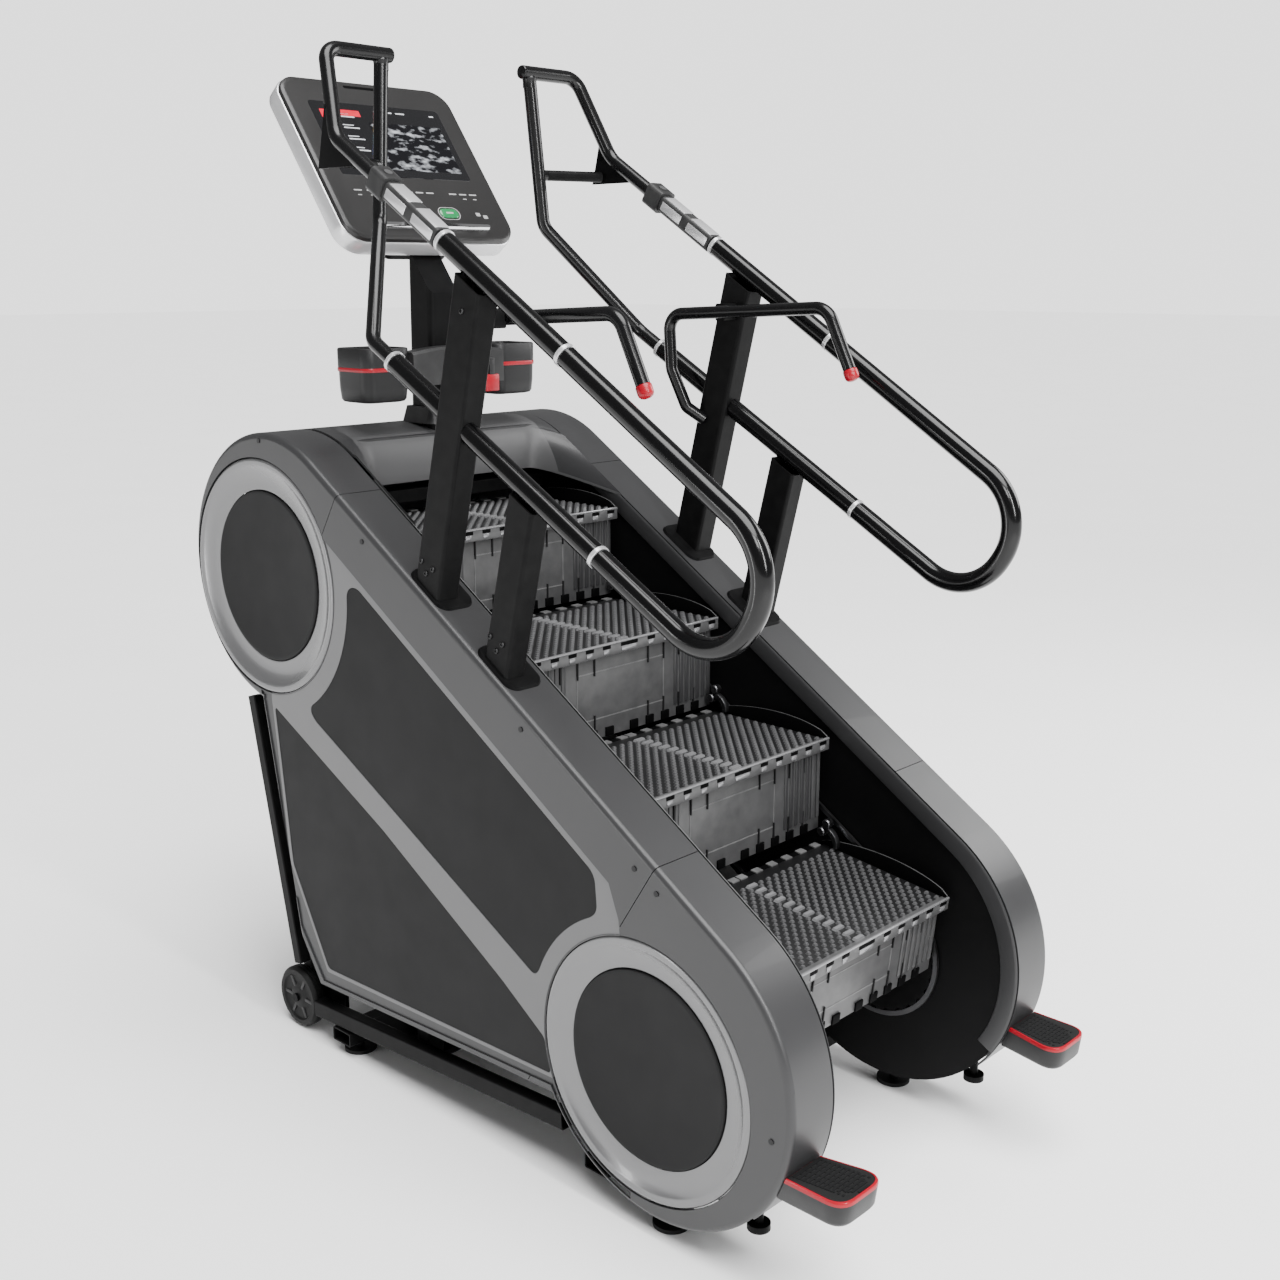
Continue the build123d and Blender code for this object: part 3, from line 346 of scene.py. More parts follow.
TREAD_DEEP, TREAD_THICK = 0.311, 0.026
RISER_AT = 0.022
STUD_PITCH = 0.0225
SLOT_FIRST, SLOT_PITCH = 0.063, 0.046


def studs(put):
    """The tread's staggered studs with sloping sides, lighter than the step plastic as a painted highlight on
    their tops, and a long bright dash in every second row.
    """
    for row in range(23):
        y = 0.019 + row * STUD_PITCH / 2
        if row % 2 == 0:
            put((-0.014, y - 0.0046, -0.0042), (0.014, y + 0.0046, 0), top=0.8, index=1)
        for column in range(12):
            x = 0.0155 + STUD_PITCH * (column + (0.5 if row % 2 == 0 else 0.0))
            if x < STEP_HALF - 0.012:
                for middle in (-x, x):
                    put((middle - 0.0046, y - 0.0037, -0.0042), (middle + 0.0046, y + 0.0037, 0),
                        top=0.6, index=4)


def riser_ribs(put, height):
    """Flutes at the riser's sides, a framed middle, grooves drawn as darker strips of painted shade, and
    notches along its foot drawn as near-black blocks of painted shade.
    """
    back, groove = RISER_AT + 0.002, RISER_AT - 0.0034
    for side in (-1, 1):
        for count in range(7):
            x = side * (0.2615 - 0.017 * count)
            put((x - 0.0055, RISER_AT - 0.003, 0.024 - height), (x + 0.0055, back, -0.026), bevel=0.0026)
        # Painted shade: a darker strip stands for the shade in each groove.
        for count in range(4):
            x = side * (SLOT_FIRST + SLOT_PITCH * count + 0.013)
            for foot, top in ((-0.066, -0.024), (0.018 - height, 0.05 - height)):
                put((x - 0.0013, groove, foot), (x + 0.0013, RISER_AT + 0.001, top), index=6)
        # Painted shade: a near-black block stands for the shade in each notch.
        for count in range(5):
            x = side * (SLOT_FIRST - 0.028 + SLOT_PITCH * count)
            put((x - 0.011, RISER_AT - 0.0036, 0.001 - height), (x + 0.011, RISER_AT + 0.012, 0.019 - height),
                bevel=0.0006, index=2)
    low, high, half = 0.04 - height, -0.058, 0.124
    for x, z, end_x, end_z in ((-half, low, half, low + 0.0025), (-half, high - 0.0025, half, high),
                               (-half, low, 0.0025 - half, high), (half - 0.0025, low, half, high)):
        put((x, RISER_AT - 0.0006, z), (end_x, back, end_z))


def nose_slots(put):
    """A bright nosing, with a row of slots and bright tabs under it, the middle one wide; each slot is a
    near-black patch of painted shade that reaches further to the right.
    """
    put((0.001 - STEP_HALF, -0.0005, -0.0046), (STEP_HALF - 0.001, 0.005, 0.0), bevel=0.0018, index=1)
    for x in [0.0] + [side * (SLOT_FIRST + SLOT_PITCH * count) for side in (-1, 1) for count in range(5)]:
        half = 0.021 if x == 0.0 else 0.008
        # Painted shade: the slot is a near-black patch standing for its shadow.
        put((x - half - 0.001, 0.0001, -0.0118), (x + half + 0.004, 0.006, -0.005), index=2)
        put((x - half, -0.0014, -0.0222), (x + half, 0.006, -0.0122), bevel=0.0026, index=1)


def side_lip(bm, place, side):
    """The dark curved flange at each end of a tread, its top strip in the lighter step plastic as a painted
    highlight.
    """
    count, inner, outer = 20, STEP_HALF - 0.006, STEP_HALF - 0.0015
    rows = []
    for share in (step / count for step in range(count + 1)):
        depth = 0.004 + share * (TREAD_DEEP - 0.012)
        height = 0.001 + 0.026 * math.sin(math.pi * share ** 0.85) ** 0.7
        rows.append([bm.verts.new(place @ Vector((side * x, depth, z))) for x, z in (
            (inner, -0.006), (inner, height - 0.0022), (inner + 0.001, height), (outer - 0.001, height),
            (outer, height - 0.0022), (outer, -0.006))])
    # The top strip takes the lighter step plastic: a painted highlight along the flange's edge.
    for face in skin(bm, rows, 2)[2:6 * count:6]:
        face.material_index = 0


def chain_bracket(bm, place, side, depth, height):
    """Two rollers and a bent arm, which tie a step to its chain."""
    across, quarter = side * (STEP_HALF - 0.013), Matrix.Rotation(math.pi / 2, 4, "Y")
    for offset in (0.0, 0.021):
        centre = Matrix.Translation((across, depth - offset * 0.5, height + offset))
        solid_lathe(bm, [(0.0001, -0.008), (0.0075, -0.008), (0.0092, -0.006), (0.0092, -0.002),
                         (0.006, -0.001), (0.006, 0.001), (0.0092, 0.002), (0.0092, 0.006),
                         (0.0075, 0.008), (0.0001, 0.008)], place @ centre @ quarter, 24, index=3)
    for step in range(6):
        angle = math.radians(18 + 13 * step)
        knuckle = Matrix.Translation((across, depth - 0.008 - 0.03 * math.sin(angle),
                                      height - 0.022 + 0.03 * math.cos(angle)))
        block(bm, (-0.0065, -0.0058, -0.0052), (0.0065, 0.0058, 0.0052),
              place @ knuckle @ Matrix.Rotation(angle, 4, "X"), bevel=0.0015, index=3)


def build_step(name, nose, tilt, height, body):
    """One whole step: tread, studs, riser, nosing, side lips and chain brackets."""
    place = Matrix.Translation(nose) @ Matrix.Rotation(tilt, 4, "X")
    bm = bmesh.new()
    put = partial(block, bm, place=place)
    # The tread's field, in the step plastic darkened as painted shade between the studs.
    put((-STEP_HALF, 0.0015, -TREAD_THICK), (STEP_HALF, TREAD_DEEP, -0.004), bevel=0.0025, index=5)
    put((0.0005 - STEP_HALF, 0.0008, -TREAD_THICK), (STEP_HALF - 0.0005, 0.016, -0.0035), bevel=0.0015)
    put((0.001 - STEP_HALF, RISER_AT, -height), (STEP_HALF - 0.001, RISER_AT + 0.014, -0.024), bevel=0.001)
    studs(put)
    riser_ribs(put, height)
    nose_slots(put)
    for side in (-1, 1):
        side_lip(bm, place, side)
        chain_bracket(bm, place, side, TREAD_DEEP - 0.012, 0.026)
        wall = side * (STEP_HALF - 0.003)
        put((wall - 0.002, RISER_AT + 0.012, -height * 0.8), (wall + 0.002, 0.2, -0.02),
            bevel=0.0015, index=2)
        # Tabs along the tread's back edge, with near-black patches of painted shade in the gaps between them.
        for count in range(6):
            x = side * (SLOT_FIRST - 0.051 + SLOT_PITCH * count)
            put((x - 0.01, TREAD_DEEP - 0.016, -0.006), (x + 0.01, TREAD_DEEP - 0.001, -0.0015))
            put((x + 0.0105, TREAD_DEEP - 0.014, -0.006),
                (x + SLOT_PITCH - 0.0105, TREAD_DEEP - 0.001, -0.0035), index=2)
    materials = (STEP, STEP_BRIGHT, STEP_BLACK_AND_SHADE, STEEL, STUD_LIT, TREAD_SHADED, GROOVE_SHADE)
    piece(f"{name}_detailed", bm, materials, "step", name, body=body)


def build_steps():
    build_step("step_0", NOSE_0, NOSE_0_TILT, 0.165, "front_step")
    for index in range(1, 4):
        nose = NOSE_1 + Vector((0, (index - 1) * RUN, (index - 1) * RISE))
        build_step(f"step_{index}", nose, 0.0, RISE - 0.004, "stairs")


# ---- covers' trim ----

def build_rings():
    """Smooth dished rings with a rolled outer lip."""
    bm = bmesh.new()
    for side in SIDES:
        for y, z, radius in RINGS:
            width = radius - DISC_R
            profile = [(DISC_R + 0.001, -0.013), (DISC_R + 0.001, -0.0124)]
            for step in range(15):
                share = step / 14
                profile.append((DISC_R + 0.002 + (width - 0.016) * share, -0.012 + 0.0118 * share ** 2.2))
            profile += [(radius - 0.011, 0.0), (radius - 0.007, 0.0007), (radius - 0.003, 0.0002),
                        (radius - 0.0006, -0.002), (radius, -0.0045), (radius, -0.013)]
            lathe(bm, profile, along_x(OUTER_X - 0.001, y, z, side), 192)
    piece("disc_rings_turned", bm, (RING,), "trim_silver", "disc_rings")


def build_discs():
    """Flat dark discs with a rounded edge that stands a little proud."""
    bm = bmesh.new()
    for side in SIDES:
        for y, z, _ in RINGS:
            place = along_x(OUTER_X - 0.015, y, z, side)
            profile = [(0.0005, 0.0), (DISC_R - 0.0015, 0.0), (DISC_R - 0.0006, 0.003),
                       (DISC_R - 0.002, 0.0048), (DISC_R - 0.006, 0.0056), (DISC_R - 0.009, 0.005),
                       (0.0005, 0.005)]
            solid_lathe(bm, profile, place, 128)
    piece("disc_inserts_moulded", bm, (PANEL,), "side_panel", "disc_inserts")


SCOOP_HALF, SCOOP_BLEND_X, SCOOP_LIFT = 0.2835, 0.205, 0.003
SCOOP_TOP_Y, SCOOP_FOLD_Y, SCOOP_END_Y = 0.58, 0.497, 0.25
SCOOP_KNEE, SCOOP_RIM = Vector((0.462, 1.272)), Vector((0.47, 1.205))
PALE_HALF, PALE_TOP_Y, PALE_R = 0.25, 0.572, 0.045


def hood_height(y):
    """Height of the hood's round outside."""
    centre_y, centre_z, radius = HOOD_ARC
    return centre_z + math.sqrt(radius ** 2 - (y - centre_y) ** 2)


def cover_top(y):
    """Height of the covers' straight top edge."""
    return COVER_TOP_AT[1] + COVER_SLOPE * (y - COVER_TOP_AT[0])


def scoop_point(x, share):
    """A point of the scoop: share runs from its top edge on the hood down to its rim."""
    fold = 0.3
    if share < fold:
        y = SCOOP_TOP_Y + (SCOOP_FOLD_Y - SCOOP_TOP_Y) * share / fold
        middle = Vector((y, hood_height(y) + SCOOP_LIFT))
    else:
        bend = (share - fold) / (1 - fold)
        start = Vector((SCOOP_FOLD_Y, hood_height(SCOOP_FOLD_Y) + SCOOP_LIFT))
        middle = (1 - bend) ** 2 * start + 2 * bend * (1 - bend) * SCOOP_KNEE + bend ** 2 * SCOOP_RIM
    side_y = SCOOP_TOP_Y + (SCOOP_END_Y - SCOOP_TOP_Y) * share
    side_z = min(cover_top(side_y), hood_height(max(side_y, COVER_TOP_AT[0])) + SCOOP_LIFT) - 0.001
    edge = max(0.0, (abs(x) - SCOOP_BLEND_X) / (SCOOP_HALF - SCOOP_BLEND_X))
    return Vector((x, *middle.lerp(Vector((side_y, side_z)), edge ** 2.4)))


def outline_path():
    """Points along the covers' top edge, from the low front round the arc and up the slope."""
    centre, radius = Vector(LOW_ARC[:2]), LOW_ARC[2]
    slope, first = math.atan(COVER_SLOPE), math.radians(212)
    path = []
    for step in range(49):
        angle = first + (math.pi / 2 + slope - first) * step / 48
        outward = Vector((math.cos(angle), math.sin(angle)))
        path.append((centre + radius * outward, outward))
    top, normal = path[-1]
    along = Vector((math.cos(slope), math.sin(slope)))
    return path + [(top + along * 0.15 * step, normal) for step in range(1, 9)]


def build_skirts():
    """The moulded band that turns down from the covers' inner top edge, over the dark inner wall."""
    section = ((0.285, -0.001), (0.2838, -0.0006), (0.2824, -0.0022), (0.2816, -0.006),
               (0.2806, -0.033), (0.2812, -0.035), (0.2824, -0.0358), (0.2849, -0.0358))
    bm = bmesh.new()
    for side in SIDES:
        skin(bm, [[bm.verts.new((side * x, *(point + normal * depth))) for x, depth in section]
                  for point, normal in outline_path()])
    piece("cover_skirts", bm, (COVER,), "cover")


def on_pale_panel(point):
    """Whether a point of the scoop lies on its paler panel, whose top corners are round."""
    past_x = max(0.0, abs(point.x) - (PALE_HALF - PALE_R)) / PALE_R
    past_y = max(0.0, point.y - (PALE_TOP_Y - PALE_R)) / PALE_R
    return math.hypot(past_x, past_y) < 1


def build_hood_scoop():
    """The scoop that leads from the hood's top down to the rim over the stairs."""
    columns, rows = 220, 60
    bm = bmesh.new()
    skins = [[[bm.verts.new(scoop_point(SCOOP_HALF * (2 * column / columns - 1), row / rows)
                + Vector((0, 0, lift))) for row in range(rows + 1)]
              for column in range(columns + 1)] for lift in (0.0, -0.006)]
    for grid in skins:
        for near, far in zip(grid, grid[1:]):
            for row in range(rows):
                face = bm.faces.new((near[row], far[row], far[row + 1], near[row + 1]))
                face.material_index = 0 if on_pale_panel(face.calc_center_median()) else 1
    top, under = skins
    border = ([(column, 0) for column in range(columns)] + [(columns, row) for row in range(rows)]
              + [(column, rows) for column in range(columns, 0, -1)]
              + [(0, row) for row in range(rows, 0, -1)])
    for (a, b), (c, d) in zip(border, border[1:] + border[:1]):
        bm.faces.new((top[a][b], top[c][d], under[c][d], under[a][b]))
    piece("hood_scoop", bm, (COVER_LIGHT, COVER), "hood_panel", "hood_inner_panel")


# ---- side fields and their trims ----

TRIM_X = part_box("accent_trims")[1].x


def trim_line(y, drop):
    """Height of a line that runs below the covers' top edge, by a distance square to it."""
    return cover_top(y) - drop * math.hypot(1, COVER_SLOPE)


def ring_arc(ring, gap, first, last, turn, steps=60):
    """Points on a circle a gap outside a disc ring, from beside one point to beside another."""
    centre, radius = Vector(ring[:2]), ring[2] + gap
    start, end = (math.atan2(z - centre.y, y - centre.x) for y, z in (first, last))
    whole = turn * ((end - start) * turn % (2 * math.pi))
    angles = [start + whole * step / steps for step in range(steps + 1)]
    return [centre + radius * Vector((math.cos(angle), math.sin(angle))) for angle in angles]


def eased(corners, reach, pitch=0.003):
    """A closed outline at an even pitch, its corners rounded over a reach."""
    even = []
    for here, after in zip(corners, corners[1:] + corners[:1]):
        count = max(1, round(math.dist(here, after) / pitch))
        even += [Vector(here).lerp(Vector(after), step / count) for step in range(count)]
    width = round(reach / pitch)
    return [sum((even[(at + step) % len(even)] for step in range(-width, width + 1)), Vector((0, 0)))
            / (2 * width + 1) for at in range(len(even))]


def grown(points, distance):
    """A closed outline moved outwards by a distance, or inwards if it is negative."""
    area = sum(a.x * b.y - b.x * a.y for a, b in zip(points, points[1:] + points[:1]))
    moved = []
    for at, point in enumerate(points):
        along = (points[(at + 1) % len(points)] - points[at - 1]).normalized()
        moved.append(point + math.copysign(distance, area) * Vector((along.y, -along.x)))
    return moved


def upper_outline():
    """The upper dark field: a straight top and foot, and a curve beside each disc ring."""
    low, high = RINGS
    return eased([(0.302, trim_line(0.302, 0.126)), (-0.345, trim_line(-0.345, 0.124))]
                + ring_arc(low, 0.036, (-0.345, 0.575), (-0.196, 0.392), -1)
                + [(0.164, 0.584), (0.466, 0.743)]
                + ring_arc(high, 0.044, (0.478, 0.764), (0.338, 1.028), -1), 0.018)


def lower_outline():
    """The lower dark field: a long triangle cut short by the low disc ring."""
    return eased([(0.604, 0.741), (0.568, 0.4), (0.456, 0.194)]
                + ring_arc(RINGS[0], 0.005, (-0.232, 0.216), (-0.216, 0.281), 1, 12)
                + [(-0.099, 0.357), (0.244, 0.558)], 0.008)


def trim_outline():
    """The whole trim: the two fields with the pale bands round and between them."""
    low, high = RINGS
    return eased([(0.398, trim_line(0.398, 0.104)), (-0.38, trim_line(-0.38, 0.104)), (-0.403, 0.568)]
                + ring_arc(low, 0.001, (-0.403, 0.56), (-0.236, 0.2085), -1)
                + [(0.4595, 0.1865), (0.5755, 0.4), (0.612, 0.755)]
                + ring_arc(high, 0.001, (0.612, 0.77), (0.402, 1.128), -1), 0.003)


def backing_outline():
    """The dark backing that closes the covers' side windows behind the trim."""
    low, high = RINGS
    return eased([(0.398, trim_line(0.398, 0.1005)), (-0.378, trim_line(-0.378, 0.1005)), (-0.41, 0.568)]
                + ring_arc(low, 0.001, (-0.42, 0.56), (-0.25, 0.176), -1)
                + [(0.48, 0.155), (0.556, 0.268), (0.646, 0.755)]
                + ring_arc(high, 0.001, (0.65, 0.77), (0.402, 1.135), -1), 0.003)


def side_place(side):
    """A placement whose local X, Y and Z are the frame's Y, Z and the way out of one side."""
    return Matrix(((0, 0, side, 0), (1, 0, 0, 0), (0, 1, 0, 0), (0, 0, 0, 1)))


def build_side_fields():
    """The two dark fields of each side, let a millimetre into the trim."""
    bm = bmesh.new()
    for side in SIDES:
        for points in (upper_outline(), lower_outline()):
            plate(bm, [(grown(points, growth), TRIM_X - drop) for growth, drop in (
                (-0.0005, 0.0022), (-0.0005, 0.0016), (-0.0012, 0.0011))], side_place(side))
    piece("side_fields", bm, (PANEL,), "side_panel", "side_panels_upper", "side_panels_lower")


def build_trims():
    """The pale trim round the dark fields, with soft edges, and the dark backing behind it."""
    outlines = [(trim_outline(), -1), (upper_outline(), 1), (lower_outline(), 1)]
    levels = ((0.0, TRIM_X - 0.0022), (0.0, TRIM_X - 0.0006), (0.0007, TRIM_X))
    bm = bmesh.new()
    for side in SIDES:
        place = side_place(side)
        top = []
        for points, inward in outlines:
            rings = [[bm.verts.new(place @ Vector((*point, level)))
                      for point in grown(points, inward * inset)] for inset, level in levels]
            skin(bm, rings, caps=(False, False))
            top.append(rings[-1])
        flat = [vertex for ring in top for vertex in ring]
        for triangle in tessellate_polygon([[Vector((v.co.y, v.co.z, 0)) for v in ring] for ring in top]):
            bm.faces.new([flat[corner] for corner in triangle])
        plate(bm, [(backing_outline(), TRIM_X - drop) for drop in (0.0045, 0.0024)], place, 1)
    piece("side_trims", bm, (ACCENT, COVER), "accent", "accent_trims")


# ---- console ----

CONSOLE_FOOT, CONSOLE_TOP = Vector((0, 0.52, 1.672)), Vector((0, 0.768, 2.006))
CONSOLE_LONG = (CONSOLE_TOP - CONSOLE_FOOT).length
CONSOLE_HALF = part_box("console_rim")[1].x
FACE_AT = 0.028
SCREEN_AT, SCREEN_HALF = CONSOLE_LONG / 2 + 0.048, (0.17, 0.095)
START_AT = (0.062, 0.072)


def console_place():
    """Local X runs across, local Y up the face and local Z out towards the user."""
    up = (CONSOLE_TOP - CONSOLE_FOOT).normalized()
    out = Vector((1, 0, 0)).cross(up)
    turn = Matrix((Vector((1, 0, 0)), up, out)).transposed().to_4x4()
    return Matrix.Translation(CONSOLE_FOOT) @ turn


def console_layer(inset, height):
    """The console's outline, drawn in by an inset, at one height."""
    half_y = CONSOLE_LONG / 2
    return rounded_outline(CONSOLE_HALF - inset, half_y - inset, max(0.004, 0.051 - inset), 12,
                (0, half_y)), height


def tile(bm, centre, half, radius, lift, index=0, *, height, place):
    """A thin raised rounded tile on the console's face."""
    plate(bm, [(rounded_outline(half[0] - inset, half[1] - inset, max(0.0004, radius - inset), 4, centre),
                height + rise) for inset, rise in ((0, 0), (0, lift / 2), (lift / 2, lift))], place, index)


def build_console():
    """The housing, its rolled rim, the glass, the ledge under the face and the domed start button."""
    place = console_place()
    bm = bmesh.new()
    plate(bm, [console_layer(*layer) for layer in (
        (0.026, -FACE_AT), (0.012, -0.025), (0.0036, -0.015), (0.0032, 0.02), (0.0045, 0.0255),
        (0.0085, 0.0278), (0.014, FACE_AT))], place)
    tile(bm, (0, CONSOLE_LONG - 0.02), (0.058, 0.00352), 0.003, 0.0006, 1,
         height=FACE_AT - 0.0002, place=place)
    piece("console_body", bm, (FACE, STEP_BLACK_AND_SHADE), "dark_plastic", "console_housing")

    bm = bmesh.new()
    inner = 0.0034
    plate(bm, [console_layer(*layer) for layer in (
        (inner, -0.022), (0.0012, -0.022), (0.0, -0.019), (0.0, 0.012), (0.0012, 0.0155), (inner, 0.0165))],
          place, caps=(False, False))
    plate(bm, [console_layer(inner, 0.0165), console_layer(inner, -0.022)], place, caps=(False, False))
    bmesh.ops.remove_doubles(bm, verts=bm.verts, dist=1e-6)
    piece("console_rim_rolled", bm, (SILVER,), "ring_silver", "console_rim")

    bm = bmesh.new()
    tile(bm, (0, SCREEN_AT), SCREEN_HALF, 0.008, 0.001, height=FACE_AT - 0.0003, place=place)
    piece("screen_glass", bm, (GLASS,), "screen", "screen")
    build_display(place)
    build_console_labels(place)

    bm = bmesh.new()
    bar = rounded_outline(0.15, 0.0065, 0.0064, 8, (0, 0.034))
    small = [(x * 0.995, (y - 0.034) * 0.6 + 0.034) for x, y in bar]
    plate(bm, [(bar, FACE_AT - 0.001), (bar, FACE_AT + 0.007), (small, FACE_AT + 0.0105)], place)
    piece("console_lip", bm, (CHROME,), "ring_silver")

    bm = bmesh.new()
    plate(bm, [(rounded_outline(0.0248 * share, 0.0118 * share, 0.0117 * share, 12, START_AT),
                FACE_AT + height) for share, height in (
        (1.0, -0.0026), (1.0, 0.0008), (0.94, 0.0018), (0.8, 0.0024))], place)
    symbol = rounded_outline(0.01, 0.0022, 0.0021, 5, START_AT)
    plate(bm, [(symbol, FACE_AT + 0.0022), (symbol, FACE_AT + 0.0028)], place, 1)
    piece("start_button_domed", bm, (GREEN, LABEL), "button_green", "start_button", body="start_key")


def build_display(place):
    """What the screen shows: a bar, a column of coloured tiles and a picture, all generic."""
    colours = {"red": (0.55, 0.01, 0.03), "amber": (0.75, 0.42, 0.02), "cyan": (0.05, 0.42, 0.62),
               "blue": (0.04, 0.1, 0.62), "violet": (0.24, 0.05, 0.5)}
    materials = [lit(f"display_{name}", colour, 0.6) for name, colour in colours.items()]
    materials += [lit("display_white", (0.5, 0.51, 0.53), 0.35), picture()]
    white, view = len(materials) - 2, len(materials) - 1
    bm = bmesh.new()
    put = partial(tile, bm, height=FACE_AT + 0.0006, place=place)
    put((0.058, SCREEN_AT - 0.014), (0.096, 0.062), 0.002, 0.0004, view)
    for index in range(5):
        y = SCREEN_AT + 0.062 - index * 0.029
        put((-0.136, y), (0.015, 0.0115), 0.003, 0.0004, index)
        put((-0.088, y - 0.004), (0.02, 0.0016), 0.001, 0.0004, white)
        put((-0.094, y + 0.003), (0.014, 0.0012), 0.001, 0.0004, white)
    put((-0.076, SCREEN_AT + 0.068), (0.026, 0.008), 0.002, 0.0004)
    for x, half in ((0.0, 0.01), (0.03, 0.008), (0.06, 0.012), (0.146, 0.006)):
        put((x, SCREEN_AT + 0.078), (half, 0.0018), 0.001, 0.0004, white)
    piece("screen_display", bm, materials, "screen")


def build_console_labels(place):
    """Printed marks under the screen: plain bars and rings, with no lettering."""
    lift = FACE_AT - 0.0001
    bm = bmesh.new()
    put = partial(tile, bm, height=lift, place=place)
    for x in (-0.15, -0.118, -0.02, 0.008, 0.036, 0.098, 0.126, 0.154):
        put((x, 0.124), (0.01, 0.0017), 0.0012, 0.0005)
    for x in (-0.15, -0.118, 0.126, 0.154):
        put((x, 0.112), (0.005, 0.0012), 0.001, 0.0005)
    for centre in ((0.142, 0.072), (0.16, 0.066), (-0.11, 0.074)):
        put(centre, (0.006, 0.0045), 0.002, 0.0005)
    outer, inner = (rounded_outline(0.029 * share, 0.016 * share, 0.0159 * share, 12, START_AT)
                    for share in (1.0, 0.93))
    plate(bm, [(outer, lift), (outer, lift + 0.0005), (inner, lift + 0.0005), (inner, lift)], place,
          caps=(False, False))
    piece("console_labels", bm, (LABEL,), "ring_silver")


# ---- tray, pads, wheels and hardware ----

TRAY_LOW, TRAY_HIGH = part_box("tray")[0].z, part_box("tray")[1].z
BIN_X = 0.174
BIN_Y = (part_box("tray")[0].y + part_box("tray")[1].y) / 2 + 0.006
BIN_HALF = (0.06, 0.056)
BRIDGE_NEAR, BRIDGE_FAR, BRIDGE_HALF = 0.4445, 0.487, 0.122
BAND_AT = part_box("tray_bands")[0].z


def bin_layer(side, inset, height):
    """One bin's outline, drawn in by an inset, at one height."""
    return rounded_outline(BIN_HALF[0] - inset, BIN_HALF[1] - inset, 0.026 - inset * 0.6, 8,
                (side * BIN_X, BIN_Y)), height


def build_tray():
    """Two open bins with rolled rims and rounded feet, joined by an arched bridge."""
    bm = bmesh.new()
    for side in SIDES:
        plate(bm, [bin_layer(side, inset, height) for inset, height in (
            (0.016, TRAY_LOW), (0.008, TRAY_LOW + 0.002), (0.0045, TRAY_LOW + 0.007),
            (0.0022, TRAY_LOW + 0.03), (0.0015, BAND_AT - 0.0005), (0.0, BAND_AT + 0.01),
            (0.0, TRAY_HIGH - 0.003), (0.0012, TRAY_HIGH - 0.0006), (0.003, TRAY_HIGH),
            (0.0048, TRAY_HIGH - 0.001), (0.0055, TRAY_HIGH - 0.004), (0.0075, TRAY_LOW + 0.012),
            (0.014, TRAY_LOW + 0.006))])
    low, high = TRAY_HIGH - 0.078, TRAY_HIGH - 0.01
    rows = []
    for step in range(25):
        share = step / 12 - 1
        crown = high + 0.01 * (1 - share ** 2)
        rows.append([bm.verts.new((BRIDGE_HALF * share, y, z)) for y, z in (
            (BRIDGE_NEAR, low), (BRIDGE_NEAR, crown - 0.006), (BRIDGE_NEAR + 0.005, crown),
            (BRIDGE_FAR - 0.005, crown), (BRIDGE_FAR, crown - 0.006), (BRIDGE_FAR, low))])
    skin(bm, rows)
    piece("tray_moulded", bm, (DARK,), "dark_plastic", "tray")
    bm = bmesh.new()
    for side in SIDES:
        plate(bm, [bin_layer(side, inset, BAND_AT + height) for inset, height in (
            (0.004, 0.0), (-0.0002, 0.0006), (-0.0008, 0.003), (-0.0008, 0.006), (-0.0002, 0.0084),
            (0.004, 0.009))])
    piece("tray_bands_moulded", bm, (RED,), "red_plastic", "tray_bands")


PAD_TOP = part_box("pad_treads")[1].z
PAD_MIDDLE, PAD_FRONT_Y = Vector((0.333, -0.79)), -0.8738
PAD_CORNERS = ((Vector((0.388, -0.735)), 0.004), (Vector((0.388, -0.874)), 0.036),
            (Vector((0.27, -0.874)), 0.04), (Vector((0.296, -0.735)), 0.004))


def pad_outline(side, inset):
    """A foot pad in plan: wide at the cover, its front corners well rounded."""
    points = []
    for index, (corner, radius) in enumerate(PAD_CORNERS):
        before, after = PAD_CORNERS[index - 1][0], PAD_CORNERS[(index + 1) % 4][0]
        start = corner + (before - corner).normalized() * radius
        end = corner + (after - corner).normalized() * radius
        for step in range(9):
            share = step / 8
            points.append((1 - share) ** 2 * start + 2 * share * (1 - share) * corner + share ** 2 * end)
    moved = [PAD_MIDDLE + reach * (1 - inset / max(0.03, reach.length))
             for reach in (point - PAD_MIDDLE for point in points)]
    return [(side * point.x, max(point.y, PAD_FRONT_Y)) for point in moved]


def pad_layer(side, inset, drop):
    """One height of a pad, stopped at the cover's curved front."""
    z = PAD_TOP - drop
    centre_y, centre_z, radius = LOW_ARC
    cover_y = centre_y - math.sqrt((radius + 0.0008) ** 2 - (z - centre_z) ** 2)
    return [(x, min(y, cover_y)) for x, y in pad_outline(side, inset)], z


